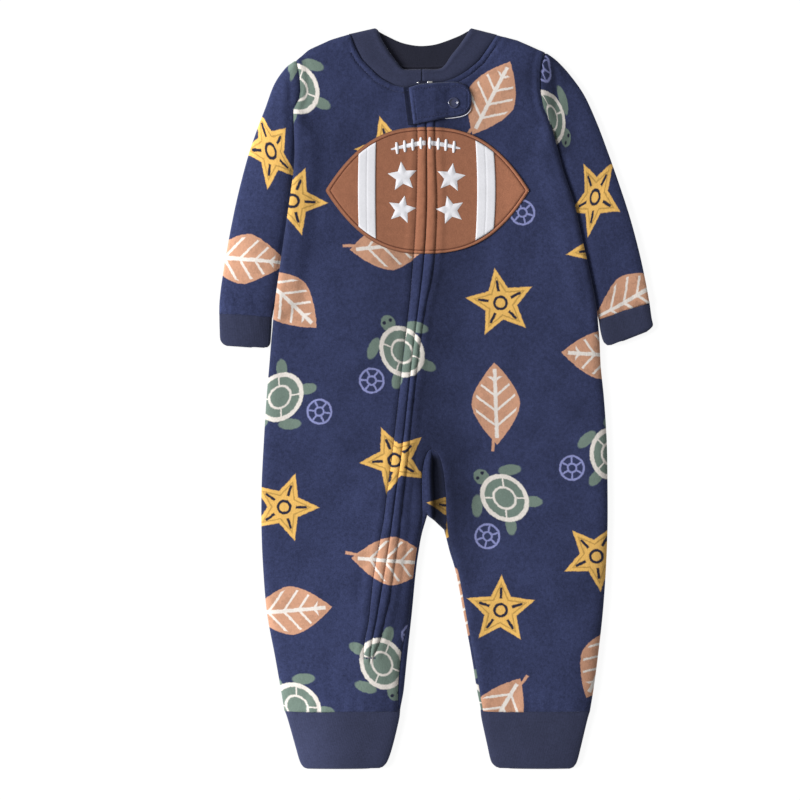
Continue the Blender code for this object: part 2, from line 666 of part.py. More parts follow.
def tube_section(before, ring, after, wall, side, press, seam):
    """Corners round one ring of a tube pressed flat on the floor."""
    floor_z = wall / 2
    outer = (ring.outer_x, ring.outer_y)
    inner = (ring.inner_x, ring.inner_y)
    outer_way = outward((before.outer_x, before.outer_y), (after.outer_x, after.outer_y), side)
    inner_way = outward((before.inner_x, before.inner_y), (after.inner_x, after.inner_y), -side)
    outer_round = (ring.outer_z - floor_z) / 2
    inner_round = (ring.inner_z - floor_z) / 2
    start = tuple(outer[k] - outer_way[k] * (wall / 2 + outer_round) for k in (0, 1))
    end = tuple(inner[k] - inner_way[k] * (wall / 2 + inner_round) for k in (0, 1))
    width = math.dist(start, end)

    def line(t):
        """Across the tube, bent toward the armhole seam as far as the ring asks."""
        curve = ring.curve * ease(0, 0.12, t) * (1 - ease(0.88, 1, t))
        seam_place = along(seam, t)
        return tuple((start[k] + (end[k] - start[k]) * t) * (1 - curve) + seam_place[k] * curve
                     for k in (0, 1))

    def upper(d):
        x, y = line(d / width)
        z = ring.middle_z - (ring.middle_z - ring.outer_z) * (1 - roll(d, 12))
        z -= (ring.middle_z - ring.inner_z) * (1 - roll(width - d, 12))
        return x, y, ring.inner_z + (z - ring.inner_z) * press(x, y)

    def turn(center, way, radius, angle):
        out = radius * math.cos(math.radians(angle))
        up = radius * (1 + math.sin(math.radians(angle)))
        return center[0] + way[0] * out, center[1] + way[1] * out, floor_z + up

    section = [(*line(t), floor_z) for t in (0, 0.14, 0.38, 0.62, 0.86)]
    section += [turn(end, inner_way, inner_round, a) for a in (-90, -45, 0, 45)]
    near = (0, 1.5, 5, 12)
    section += [upper(d) for d in reversed(across(0, width, near, near, 3))][:-1]
    section += [turn(start, outer_way, outer_round, a) for a in (90, 45, 0, -45)]
    return section + section[:1]


def unpressed(x, y):
    return 1.0


def press_right(x, y):
    """0 where the right sleeve lies under the body's side, 1 where it is free of it."""
    free = ease(RIGHT_UNDERARM_Y - 8, RIGHT_UNDERARM_Y + 4, y)
    return max(free, roll(side_right(y) - x - 1.5, 12))


def press_left(x, y):
    free = ease(LEFT_UNDERARM_Y - 8, LEFT_UNDERARM_Y + 4, y)
    return max(free, roll(x - side_left(y) - 1.5, 12))


def make_tube(rings, wall, name, mat, collection, press=unpressed, seam=((0, 0), (1, 0))):
    """An open flattened tube through its table of rings."""
    count = (len(rings) - 1) * 2
    rows = [between(rings, i / 2) for i in range(count + 1)]
    side = 1 if rows[-1].outer_x < rows[-1].inner_x else -1
    sections = []
    for i, row in enumerate(rows):
        before = rows[max(i - 1, 0)]
        after = rows[min(i + 1, count)]
        sections.append(tube_section(before, row, after, wall, side, press, seam))
    bm = bmesh.new()
    add_patch(bm, len(sections[0]) - 1, count, lambda column, row: sections[row][column])
    weld(bm)
    return add_object(bm, name, mat, collection, wall, even_wall=False)


def make_neckband(mat, collection):
    """One strip from the zip round the neck and back, split at the front."""
    count = (len(NECKBAND) - 1) * 2
    rows = [between(NECKBAND, i / 2) for i in range(count + 1)]

    def place(column, row):
        section = rows[row]
        t = column / 4
        x = section.seam_x + (section.free_x - section.seam_x) * t
        y = section.seam_y + (section.free_y - section.seam_y) * t
        return x, y, section.z

    bm = bmesh.new()
    add_patch(bm, 4, count, place)
    return add_object(bm, "neckband", mat, collection, KNIT)


# ------------------------------------------------------------------ zip and guard
def tape_height(x, y):
    """The tape lies against the underside of the lips, and lower under the neckband."""
    lips = FRONT_Z + LIP_RISE * ease(ZIP_END_Y - 8, ZIP_END_Y + 3, y) - FLEECE / 2
    band = NECKBAND[0].z - KNIT / 2
    above = lips + (band - lips) * ease(TAPE_DIP_Y - 12, TAPE_DIP_Y, y)
    return above - SEAM_GAP - TAPE_THICK / 2


def make_tape(mat, collection):
    bm = bmesh.new()
    heights = even(ZIP_END_Y - 4, TAPE_DIP_Y - 12, 25) + [TAPE_DIP_Y, 303]
    rows = [[(zip_x(y) + dx, y) for dx in (-TAPE_HALF, 0, TAPE_HALF)] for y in heights]
    add_rows(bm, rows, tape_height)
    return add_object(bm, "zip_tape", mat, collection, TAPE_THICK)


def make_block(name, size, center, mat, collection, bevel):
    """A plate with rounded edges."""
    bm = bmesh.new()
    bmesh.ops.create_cube(bm, size=1.0)
    bmesh.ops.scale(bm, vec=size, verts=bm.verts)
    bmesh.ops.bevel(bm, geom=bm.edges[:], offset=bevel, segments=2, profile=0.5,
                    affect="EDGES", material=-1)
    bmesh.ops.translate(bm, vec=center, verts=bm.verts)
    return add_object(bm, name, mat, collection)


def guard_height(x, y):
    """The guard arches over the slider and its pull."""
    return GUARD_LOW_Z + (GUARD_HIGH_Z - GUARD_LOW_Z) * ease(-28, -19, x) * (1 - ease(-3, 15, x))


def make_guard(mat, collection):
    bm = bmesh.new()
    rows = []
    for number in even(0, len(GUARD) - 1, 18):
        section = between(GUARD, number)
        rows.append([(section.x, y) for y in even(section.low_y, section.high_y, 6)])
    add_rows(bm, rows, guard_height)
    return add_object(bm, "zip_guard", mat, collection, GUARD_THICK)


def make_snap(mat, collection):
    """Ring of the fastened snap on the guard."""
    lift_z = guard_height(SNAP_X, SNAP_Y) + GUARD_THICK / 2 + SEAM_GAP + SNAP_WIRE + 0.3
    bpy.ops.mesh.primitive_torus_add(
        location=(SNAP_X * MM, SNAP_Y * MM, lift_z * MM),
        major_radius=(SNAP_RADIUS - SNAP_WIRE) * MM, minor_radius=SNAP_WIRE * MM,
        major_segments=28, minor_segments=8)
    ring = bpy.context.object
    ring.name = "guard_snap"
    ring.data.materials.append(mat)
    ring.data.shade_smooth()
    for other in list(ring.users_collection):
        other.objects.unlink(ring)
    collection.objects.link(ring)
    return ring


# ------------------------------------------------------------------ chest patch
def patch_half_height(x):
    """Half the patch's height at a place along it."""
    t = min(abs(x - PATCH_X) / PATCH_HALF_LENGTH, 1.0)
    return max(PATCH_HALF_HEIGHT * (1 - t ** PATCH_POINT), 1.5)


def on_front(above):
    """Height of something that lies on the front, its middle so far above the cloth."""
    return lambda x, y: front_height(x, y) + FLEECE / 2 + above


def make_patch_half(side, mat, collection):
    """One half of the chest patch: side -1 is the wearer's right, 1 the left."""
    name = "chest_patch_right" if side < 0 else "chest_patch_left"
    tip = PATCH_X + side * PATCH_HALF_LENGTH
    rows = []
    for number in range(13):
        share = -1 + number / 6
        row = []
        for step in (0, 2, 5, 10, 20, 31, 42, 53, 64, 73):
            x = tip - side * step
            row.append((x, PATCH_Y + share * patch_half_height(x)))
        for step in reversed(LIP_STEPS):
            x = PATCH_X + side * (step + SLIT_HALF)
            y = PATCH_Y + share * patch_half_height(x)
            row.append((zip_x(y) + side * (step + SLIT_HALF), y))
        rows.append(row if side < 0 else row[::-1])
    bm = bmesh.new()
    add_rows(bm, rows, on_front(SEAM_GAP + 0.2 + PATCH_THICK / 2))
    return add_object(bm, name, mat, collection, PATCH_THICK)


def make_stripe(ends, name, mat, collection):
    """A stripe across the patch, inside its border."""
    rows = []
    for number in range(13):
        share = -1 + number / 6
        rows.append([(x, PATCH_Y + share * (patch_half_height(x) - STRIPE_MARGIN))
                     for x in even(*ends, 4)])
    bm = bmesh.new()
    above = SEAM_GAP + 0.2 + PATCH_THICK + SEAM_GAP + STRIPE_THICK / 2
    add_rows(bm, rows, on_front(above))
    return add_object(bm, name, mat, collection, STRIPE_THICK)


def main():
    for obj in list(bpy.data.objects):
        bpy.data.objects.remove(obj, do_unlink=True)
    parts = new_collection("onesie_pajama")
    fleece = material("navy_fleece", (0.045, 0.052, 0.125), 0.95)
    knit = material("navy_knit", (0.04, 0.043, 0.095), 0.9)
    tape = material("navy_tape", (0.02, 0.022, 0.045), 0.8)
    metal = material("slider_metal", (0.6, 0.6, 0.62), 0.3, 1.0)
    snap = material("snap_ring", (0.03, 0.035, 0.09), 0.25)
    brown = material("patch_felt", (0.33, 0.12, 0.045), 0.9)
    white = material("stripe_twill", (0.85, 0.84, 0.86), 0.7)

    make_back(fleece, parts)
    make_front(fleece, parts)
    make_crotch(fleece, parts)
    right_seam = inset_path(RIGHT_ARMHOLE, -SEAM_GAP, 0)
    left_seam = inset_path(LEFT_ARMHOLE, SEAM_GAP, 0)
    make_tube(RIGHT_SLEEVE, FLEECE, "sleeve_right", fleece, parts, press_right, right_seam)
    make_tube(LEFT_SLEEVE, FLEECE, "sleeve_left", fleece, parts, press_left, left_seam)
    make_tube(RIGHT_WRIST, KNIT, "wrist_cuff_right", knit, parts)
    make_tube(LEFT_WRIST, KNIT, "wrist_cuff_left", knit, parts)
    make_tube(RIGHT_ANKLE, KNIT, "ankle_cuff_right", knit, parts)
    make_tube(LEFT_ANKLE, KNIT, "ankle_cuff_left", knit, parts)
    make_neckband(knit, parts)
    make_tape(tape, parts)
    slider_x = zip_x(SLIDER_Y)
    make_block("zip_slider", SLIDER_SIZE, (slider_x, SLIDER_Y, SLIDER_Z), metal, parts, 0.4)
    pull_y = SLIDER_Y - (SLIDER_SIZE[1] + PULL_SIZE[1]) / 2 - SEAM_GAP
    make_block("zip_pull", PULL_SIZE, (slider_x + 1, pull_y, SLIDER_Z), metal, parts, 0.3)
    make_guard(fleece, parts)
    make_snap(snap, parts)
    make_patch_half(-1, brown, parts)
    make_patch_half(1, brown, parts)
    make_stripe(STRIPE_RIGHT, "patch_stripe_right", white, parts)
    make_stripe(STRIPE_LEFT, "patch_stripe_left", white, parts)


main()
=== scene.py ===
"""Looks of a footless fleece onesie pajama laid flat: printed fleece, rib, zip and chest patch.

Lengths are in millimetres until cloth_object and new_object turn them into metres. x runs to
the wearer's left, y toward the head and z up from the floor. "Right" and "left" in names are
the wearer's.
"""

import math
from collections import namedtuple

import bmesh
import bpy
import numpy as np
from bpy.props import FloatProperty, FloatVectorProperty, PointerProperty
from mathutils import Matrix, Vector


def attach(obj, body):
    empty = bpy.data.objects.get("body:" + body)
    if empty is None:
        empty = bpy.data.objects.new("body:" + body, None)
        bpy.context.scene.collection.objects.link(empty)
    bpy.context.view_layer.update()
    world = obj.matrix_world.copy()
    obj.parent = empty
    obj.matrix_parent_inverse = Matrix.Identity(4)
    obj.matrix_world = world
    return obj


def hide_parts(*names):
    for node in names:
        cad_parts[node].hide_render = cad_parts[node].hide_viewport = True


bl_info = {
    "name": "Onesie Pajama",
    "version": (1, 0, 0),
    "blender": (4, 5, 0),
    "location": "View3D > Sidebar > Onesie",
    "description": "Dresses a onesie pajama in printed fleece, rib, zip and embroidery",
    "category": "Object",
}

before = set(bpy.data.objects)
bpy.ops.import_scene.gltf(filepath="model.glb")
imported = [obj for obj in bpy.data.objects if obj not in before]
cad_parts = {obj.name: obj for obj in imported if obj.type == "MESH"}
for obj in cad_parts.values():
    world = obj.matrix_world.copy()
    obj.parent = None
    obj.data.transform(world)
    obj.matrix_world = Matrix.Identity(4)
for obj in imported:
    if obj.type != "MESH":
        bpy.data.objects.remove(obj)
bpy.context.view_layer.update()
MM = 0.001


def table(names, *rows):
    """Rows of numbers that are read by name."""
    row_type = namedtuple("Row", names)
    return tuple(row_type(*row) for row in rows)


# ------------------------------------------------------------------ cloth sizes
FLEECE = 2.0
KNIT = 1.8
CROTCH_WALL = 1.6
NECKBAND_DEPTH = 18.0
BAND_SPLIT_Z = 3.0  # the neckband's back half lies below this and is in shade
SEAM_GAP = 0.3
AIR = 3.0  # between back and front
EDGE_ROLL = 9.0  # reach of the rounding along a folded edge
EDGE_INSET = 0.95  # from the outline to the middle of the front's wall
BACK_INSET = 1.4
HEM_Y = -289.0
CHEST_Y = 250.0
ARCH_Y = -47.0
ARCH_X = -4.2
ARCH_LEAN = 0.1  # how far the line above the arch's top leans to the left
TUCK = 10.0  # how far a sleeve lies under the body's side
TUCK_LIFT = 4.9
LIFT_START = 64.0
LIFT_END = 82.0
HEM_OVER = 1.0  # hems hang over their cuffs
UNDERARM_COVER = 1.5
ARMHOLE_OVER = 0.8  # the front's edge over the sleeve's
CROTCH_UNDER = 1.6  # the crotch piece's seams run on under the front
SEAM_TUCK = 2.2  # a sleeve's edge runs on under the body's, between front and back
SLIT_HALF = 0.5  # the lips almost touch
ZIP_END_Y = -239.0
LIP_RISE = 1.6
PUFF = 3.2  # air in the legs
FOLD_REACH = 12.0  # how far from its folds a sleeve's or a cuff's upper wall rounds off
BACK_Z = FLEECE / 2
SEAM_Z = FLEECE + SEAM_GAP + 0.45
FRONT_Z = FLEECE + AIR + FLEECE / 2
# where the pieces lie on their roll of cloth
FRONT_SHIFT = (-8.0, 54.0)
BACK_SHIFT = (37.0, 18.0)
CROTCH_SHIFT = (28.0, 244.0)
RIGHT_SLEEVE_SHIFT = (111.0, 266.0)
LEFT_SLEEVE_SHIFT = (303.0, 214.0)

# ------------------------------------------------------------------ pattern tables
SIDES = table(
    "y right left",
    (-300, -138.5, 142), (-289, -140.5, 143.7), (-270, -143.7, 146.8), (-240, -149, 150.8),
    (-200, -156.4, 155.3), (-160, -160, 158.2), (-120, -161.7, 159.8), (-80, -161.5, 159.8),
    (-40, -159.5, 159.1), (0, -157, 156.5), (30, -154.5, 153.5), (60, -152, 152), (90, -149, 148.5),
    (120, -144.8, 142.5), (150, -140.5, 135.7), (180, -136.1, 129), (210, -132, 119), (225, -130.8, 114),
    (240, -130, 109.5), (255, -130.1, 105.5), (271, -130.6, 101),
)
ZIP_LINE = table(
    "y x",
    (-260, -61.6), (-239, -60.4), (-225, -58.9), (-206, -55), (-190, -52.3), (-160, -47.2), (-126, -42.0),
    (-84, -36.3), (-48, -31.1), (-6, -26.3), (34, -22.1), (72, -17.5), (105, -13.3), (136, -10.3),
    (176, -8.3), (212, -8.2), (254, -8.8), (288, -12.1), (310, -13.1),
)
# distance from the zip to its topstitching on each side
TOPSTITCH = table(
    "y right left",
    (-260, 5.0, 2.0), (-239, 5.6, 2.5), (-234, 6.2, 4.0), (-225, 6.5, 6.6), (-206, 6.6, 7.4),
    (-187, 7.9, 8.6), (-160, 9.3, 7.9), (-131, 8.4, 7.9), (-112, 7.6, 7.4), (-40, 8.4, 5.4),
    (10, 8.2, 5.0), (84, 8.4, 6.2), (118, 9.4, 9.2), (180, 9.4, 9.2), (232, 8.4, 7.6), (300, 8.4, 7.6),
)
INNER_LEGS = table(
    "y right left",
    (-300, -33.6, 43), (-289, -32.4, 41.6), (-270, -29.1, 38.1), (-240, -26.1, 33.3), (-200, -21.8, 25.9),
    (-160, -17.9, 18.2), (-140, -15.1, 12.3), (-124, -12, 8.4), (-108, -7, 5),
)
CROTCH_RIGHT = (-7.0, -108.3)
CROTCH_LEFT = (8.0, -122.5)
# ends of the crotch piece's fold, a little outside the corners of the back
CROTCH_FOLD = ((-7.7, -107.6), (8.5, -121.6))
ARCH = table(
    "y right left",
    (-290, -35.3, 44.5), (-278, -35.2, 42.4), (-262, -34.8, 39.8), (-243, -33, 36.7), (-225, -30.4, 33.4),
    (-207, -25.4, 30), (-190, -23.6, 27), (-160, -20.6, 21.2), (-140, -17.8, 15.3), (-125, -14.8, 12),
    (-108, -12.6, 10.4), (-92, -13, 9.9), (-76, -13.2, 8.6), (-65, -12.4, 7), (-57, -10.7, 5),
    (-51, -8.6, 2.2), (-48, -6.4, -1.4), (-47, -4.2, -4.2),
)
ARCH_SEAMS = [[(row.right, row.y) for row in ARCH], [(row.left, row.y) for row in ARCH]]
RIGHT_SHOULDER = ((-128.8, 314.4), (-117.6, 324.1), (-97.2, 333.4), (-79.8, 338.6))
LEFT_SHOULDER = ((56.8, 337.6), (75.8, 332.8), (88.8, 327.2), (101.4, 321.6))
RIGHT_NECK = (
    (-79.8, 338), (-75.6, 327.2), (-69, 315.4), (-61, 306.8), (-51.4, 297.6), (-38.4, 290.6),
    (-25.6, 288.2), (-12.4, 288),
)
LEFT_NECK = (
    (-12.4, 288), (-4, 291), (8.6, 294.3), (18.2, 297.6), (30.2, 304.8), (41, 314.2), (50.2, 327.2),
    (56.8, 337),
)
BACK_NECK = (
    (-81, 336), (-76.6, 327), (-66, 317.8), (-51, 312), (-33, 309.5), (-13, 308.7), (8, 309.6),
    (27, 313.1), (43, 319.6), (53, 327), (58, 335),
)
RIGHT_ARMHOLE = (
    (-128.8, 314.4), (-126.2, 305), (-125, 296), (-124.6, 286), (-126, 277.5), (-130.6, 271),
)
LEFT_ARMHOLE = (
    (101.4, 321.6), (97.6, 311), (96.2, 300), (96.4, 284), (99.2, 270), (105.3, 257),
)
# one row for each ring of a flattened tube: its outer and inner fold on the floor, the
# height of its upper wall beside each fold and between them, its share of the armhole's curve
RING = "outer_x outer_y inner_x inner_y outer_z middle_z inner_z curve"
RIGHT_SLEEVE = table(
    RING,
    (-131.4, 313.2, -131.9, 271, 4.6, 6, 4.4, 1), (-140, 306.2, -129.4, 260.5, 4.6, 6, 3.8, 0.5),
    (-150, 291.5, -126, 249, 4.6, 6, 3.4, 0.15), (-158, 270, -123.6, 235, 4.6, 6, 3.4, 0),
    (-166, 249, -122, 215, 4.6, 6, 3.4, 0), (-175, 222, -124.5, 192, 4.6, 6, 3.4, 0),
    (-184.5, 185, -129, 165, 4.6, 6, 3.4, 0), (-192, 148, -134, 135, 4.6, 6, 3.4, 0),
    (-198, 112, -141, 108, 4.6, 6, 3.6, 0), (-200.5, 92, -149, 87, 4.6, 6, 4, 0),
    (-201, 78.6, -151.6, 75, 4.6, 5.6, 4.4, 0),
)
LEFT_SLEEVE = table(
    RING,
    (104, 320.2, 106.3, 257, 4.6, 6, 4.6, 1), (113, 313.4, 105.6, 246.5, 4.6, 6, 3.8, 0.5),
    (124.5, 301, 104.8, 236, 4.6, 6, 3.4, 0.15), (138, 282, 105.8, 221, 4.6, 6, 3.4, 0),
    (149.5, 257, 112.4, 201, 4.6, 6, 3.4, 0), (159, 232, 119, 180, 4.6, 6, 3.4, 0),
    (171, 198, 124.8, 155, 4.6, 6, 3.4, 0), (181, 167, 131, 131, 4.6, 6, 3.4, 0),
    (189.5, 135, 139.5, 106, 4.6, 6, 3.6, 0), (195.5, 107, 148.4, 84.5, 4.6, 6, 4, 0),
    (198.8, 88.6, 151.4, 73.4, 4.6, 5.6, 4.4, 0),
)
RIGHT_WRIST = table(
    RING,
    (-200.9, 77.9, -151.8, 74.3, 4.2, 5.2, 4.2, 0), (-200.6, 64, -152.6, 61, 4.2, 5, 4.2, 0),
    (-200, 53.2, -153.6, 49.6, 4.2, 4.8, 4.2, 0), (-197.6, 48.4, -155.8, 45.6, 4, 4.6, 4, 0),
)
LEFT_WRIST = table(
    RING,
    (199, 88, 151.6, 72.6, 4.2, 5.2, 4.2, 0), (200.8, 75, 153.4, 61.5, 4.2, 5, 4.2, 0),
    (202.2, 67, 156, 52, 4.2, 4.8, 4.2, 0), (199.6, 62.0, 159.5, 47.4, 4, 4.6, 4, 0),
)
RIGHT_ANKLE = table(
    RING,
    (-140, -290.2, -32.8, -290.2, 4.4, 5.6, 4.4, 0), (-137, -299, -34, -299, 4.4, 5.4, 4.4, 0),
    (-130.5, -322, -39.5, -322, 4.4, 5.2, 4.4, 0), (-126, -338, -44.5, -338, 4.2, 5, 4.2, 0),
    (-122.9, -344.2, -48.4, -344.2, 4, 4.4, 4, 0),
)
LEFT_ANKLE = table(
    RING,
    (143.6, -290.2, 41.8, -290.2, 4.4, 5.6, 4.4, 0), (141, -299, 43, -299, 4.4, 5.4, 4.4, 0),
    (135.5, -322, 48, -322, 4.4, 5.2, 4.4, 0), (131.5, -338, 51.5, -338, 4.2, 5, 4.2, 0),
    (128.4, -344.2, 55.6, -344.2, 4, 4.4, 4, 0),
)
NECKBAND = table(
    "seam_x seam_y free_x free_y z",
    (-12.75, 288.5, -12.75, 304.9, 6), (-25.7, 288.7, -22.5, 304.7, 6), (-38.3, 291.3, -30.5, 305.4, 6),
    (-51, 298.4, -37.5, 313.5, 6), (-60.3, 307.5, -44.5, 323.2, 6), (-67.8, 316, -51, 334, 5.9),
    (-75.2, 327.4, -53, 340, 5.4), (-78.7, 335.0, -54.8, 342.4, 4.6), (-79.6, 337.8, -56.4, 343, 3),
    (-77, 335.0, -54.8, 342.4, 1.7), (-73.6, 327.5, -52, 340.6, 1.1), (-64, 318.6, -45.5, 337, 0.9),
    (-50, 312.6, -33.6, 331.4, 0.9), (-33, 309.8, -23, 328.6, 0.9), (-13, 309, -13, 327.6, 0.9),
    (8, 310, -2, 328.6, 0.9), (26, 313.4, 9, 331.8, 0.9), (41, 320, 22, 337, 0.9),
    (50.4, 327.5, 29.5, 341, 1.1), (54, 334.6, 32, 342.2, 1.7), (56.2, 337.2, 33.2, 343, 3),
    (55.2, 334.4, 31.8, 342, 4.6), (49.8, 327.4, 30, 338.5, 5.4), (40.2, 315, 22.5, 327.5, 5.9),
    (29.6, 305.5, 15, 318, 6), (17.9, 298.2, 8.6, 308.4, 6), (8.4, 294.8, 2, 304.9, 6),
    (-12.35, 289.4, -12.35, 304.9, 6),
)
GUARD = table(
    "x low_y high_y",
    (-26.6, 253.6, 288.2), (-24, 253.8, 289), (-16, 255.2, 291), (-4, 257, 292), (8, 259.6, 293),
    (16, 260.8, 293.4), (22, 261.8, 292.8), (27.5, 263.8, 290.6), (31, 267.6, 286.6), (33, 273.6, 280.6),
)
GUARD_LOW_Z = 8.9
GUARD_HIGH_Z = 11.6
GUARD_SHIFT = (260.0, 91.0)
GUARD_TURN = 12  # degrees between its cloth and the front's
GUARD_EDGE = ((8.4, 259.4), (16, 260), (24, 261.4), (29.0, 263.6), (32.2, 267.2), (33.2, 270.2))

# tone_right and tone_left are painted light and shade toward a cuff's right and left folds
CUFFS = table(
    "node rings flat area tone_right tone_left",
    ("wrist_cuff_right", RIGHT_WRIST, (0.1, 0.03), 0.0026, 0.2, -0.12),
    ("wrist_cuff_left", LEFT_WRIST, (0.1, 0.03), 0.0025, -0.22, -0.02),
    ("ankle_cuff_right", RIGHT_ANKLE, (0.21, 0.054), 0.0101, 0.68, 0.28),
    ("ankle_cuff_left", LEFT_ANKLE, (0.21, 0.054), 0.0099, 0.0, 0.04),
)

# soft creases: a run from one end to the other, how far it bows aside, its depth (a ridge is
# negative) and half width
CREASE = "from_x from_y to_x to_y bow depth width"
FRONT_CREASES = table(
    CREASE,
    (-17, -40, -19, -68, 1, 0.7, 3.2), (-20, -78, -24, -122, 2, 0.6, 3.4),
    (-26, -56, -30, -100, -1, 0.5, 3), (-68, -150, -72, -196, 1, 0.9, 3.4),
    (-47, -196, -50, -232, 1, 0.5, 3), (-34, -70, -44, -150, 1.5, -0.5, 4.5),
    (60, 318, 34, 286, 5, 0.7, 6), (-88, 322, -62, 290, -5, 0.6, 6), (92, 252, 70, 226, 4, 0.8, 7),
    (-116, 262, -96, 236, -4, 0.7, 7), (14, -70, 46, -34, 6, 0.8, 7), (13, -96, 58, -84, 5, 0.6, 8),
    (-30, -20, -74, 8, -7, 0.6, 9), (120, 60, 74, 92, 8, 0.5, 10), (-124, 40, -84, 66, -8, 0.6, 10),
    (96, -150, 120, -226, 6, 0.6, 9), (-118, -120, -134, -196, -6, 0.6, 9),
    (52, -200, 60, -262, 4, 0.6, 6), (-96, -228, -92, -280, 3, 0.6, 6), (110, 150, 96, 176, 3, -0.5, 8),
)
BACK_CREASES = table(
    CREASE,
    (-3, -60, -44, -30, 6, 0.5, 8), (6, -64, 52, -28, -6, 0.5, 8), (-92, 238, -66, 214, 4, 0.5, 8),
    (74, 232, 52, 206, -4, 0.5, 8), (-110, -130, -124, -204, 5, 0.5, 9),
    (98, -142, 116, -214, -5, 0.5, 9), (-60, 300, 36, 298, 6, 0.4, 10),
)
SLEEVE_CREASES = table(
    CREASE,
    (-135.6, 300, -136.4, 246, -1.5, 0.9, 3), (-141, 296, -143, 262, -2, -0.6, 3),
    (-150, 262, -132, 214, 4, 0.6, 6), (-172, 214, -150, 178, 5, 0.6, 7),
    (-188, 130, -156, 116, 3, 0.6, 6), (-170, 100, -166, 82, 0.6, 0.6, 3),
    (-186, 98, -184, 82, -0.6, 0.5, 3), (107.4, 318, 110.6, 262, -3, 0.9, 3.2),
    (112.4, 312, 118, 262, -3, -0.6, 3.4), (134, 276, 120, 226, -4, 0.6, 6),
    (160, 220, 134, 186, -5, 0.6, 7), (180, 148, 150, 128, -3, 0.6, 6), (164, 96, 158, 82, 0.6, 0.5, 3),
    (186, 104, 180, 88, -0.6, 0.6, 3),
)

# soft round pools of painted light, or of painted shade where the tone is negative
FRONT_SPOTS = table(
    "x y half_x half_y tone",
    (19, -72, 24, 56, -0.34), (19, -118, 20, 50, -0.22), (-108, 296, 36, 36, 0.08),
    (-88, 222, 30, 30, -0.12), (52, 318, 18, 18, 0.1), (92, 292, 17, 17, -0.14),
)
# line beside the body along which the left sleeve gets a painted shadow
LEFT_SLEEVE_SHADE = ((108, 320), (109, 300), (109, 262), (118, 236))

# ------------------------------------------------------------------ chest patch sizes
PATCH_X = -7.6
PATCH_Y = 192.8
PATCH_HALF_LENGTH = 94.0
PATCH_HALF_HEIGHT = 58.4
PATCH_POINT = 2.6  # how sharply its curve turns toward its tips
PATCH_THICK = 1.2
PATCH_BORDER = 2.9  # from its edge to its line of stitching
STRIPE_THICK = 0.6
STRIPES = table("word start end bow", ("right", -71.2, -55.3, -0.6), ("left", 37.0, 53.8, 1.6))
LACE = ((-41.4, 230.8), (-24, 234.6), (-9.8, 236.7), (7, 235.2), (22.8, 231.6))
LACE_TICKS = (-35.8, -28.6, -21.1, -13.7, -5.4, 2.5, 9.6, 17)
TICK_HALF = 5.4  # half the length of a short lacing stitch
LACE_WIDTH = 4.5
TICK_WIDTH = 3.1
STAR_WAIST = 0.46  # a star's inner corners, as a share of its radius
PATCH_STARS = table(
    "x y radius turn",
    (-30.6, 205.5, 14.2, 6), (-31.4, 175.0, 13.4, -12), (14.2, 204.5, 13.8, -8), (13.8, 174.5, 13.6, 14),
)

# ------------------------------------------------------------------ zip and snap sizes
SLIDER_Y = 290.0
SLIDER_Z = 9.2
TAPE_HALF = 4.5
TAPE_THICK = 1.0
TAPE_DIP_Y = 266.0  # above it the tape lies under the neckband
TAPE_END_Y = 303.0
COIL_PITCH = 1.6
COIL_END_Y = 300.0
SNAP_X = 16.6
SNAP_Y = 273.8
SNAP_RISE = 1.35  # from the guard's curve up to the snap's foot, just inside its cloth
# radius and height along the snap's section, from its dish out to its rim
SNAP_PROFILE = (
    (0.0, 0.1), (2.4, 0.1), (3.2, 0.25), (3.6, 0.8), (4.0, 1.2), (4.4, 1.3), (4.9, 1.1), (5.2, 0.6),
    (5.3, 0.1),
)
STITCH_PITCH = 3.0
NECK_STITCHES = 5.2  # from the neck's seam to its topstitching
ZIP_STITCHES_END_Y = 284.0
GUARD_STITCHES = 4.2  # from the guard's edge to its stitching


# ------------------------------------------------------------------ curves
def stack(*parts):
    """Coordinates joined into points."""
    return np.stack(parts, axis=-1)


def raised(plan, z):
    """Places in plan joined with their heights."""
    return np.concatenate([plan, z[..., None]], axis=-1)


def column(rows, name):
    """One column of a table."""
    return np.array([getattr(row, name) for row in rows], float)


def spline(places, values, at):
    """Values at places on a smooth curve through values at rising places."""
    last = len(places) - 1
    place = np.clip(at, places[0], places[last])
    low = np.clip(np.searchsorted(places, place, side="right") - 1, 0, last - 1)
    span = places[low + 1] - places[low]
    t = (place - places[low]) / span

    def slope(index):
        before = np.maximum(index - 1, 0)
        after = np.minimum(index + 1, last)
        return (values[after] - values[before]) / (places[after] - places[before]) * span

    start = values[low] * (1 + 2 * t) * (1 - t) ** 2 + slope(low) * t * (1 - t) ** 2
    end = values[low + 1] * (3 - 2 * t) * t ** 2 - slope(low + 1) * (1 - t) * t ** 2
    return start + end


def reader(rows, name):
    """A function that reads one column of a table smoothly at any y."""
    places = column(rows, "y")
    values = column(rows, name)
    return lambda y: spline(places, values, y)


def between(rows, number):
    """A row of a table at a fractional row number."""
    numbers = np.arange(len(rows), dtype=float)
    return type(rows[0])(*(float(spline(numbers, np.array(values, float), number))
                           for values in zip(*rows)))


side_right, side_left = (reader(SIDES, side) for side in ("right", "left"))
inner_right, inner_left = (reader(INNER_LEGS, side) for side in ("right", "left"))
arch_right, arch_left = (reader(ARCH, side) for side in ("right", "left"))
stitch_right, stitch_left = (reader(TOPSTITCH, side) for side in ("right", "left"))
zip_x = reader(ZIP_LINE, "x")


def ease(low, high, value):
    """Smooth step from 0 at low to 1 at high."""
    t = np.clip((value - low) / (high - low), 0.0, 1.0)
    return t * t * (3 - 2 * t)


def roll(distance, reach):
    """Quarter-round rise of a folded edge, 0 at the edge and 1 past its reach."""
    inside = 1.0 - np.clip(distance / reach, 0.0, 1.0)
    return np.sqrt(1.0 - inside * inside)


def bell(distance, width):
    """1 at no distance, running out softly past a width."""
    return np.exp(-((distance / width) ** 2))


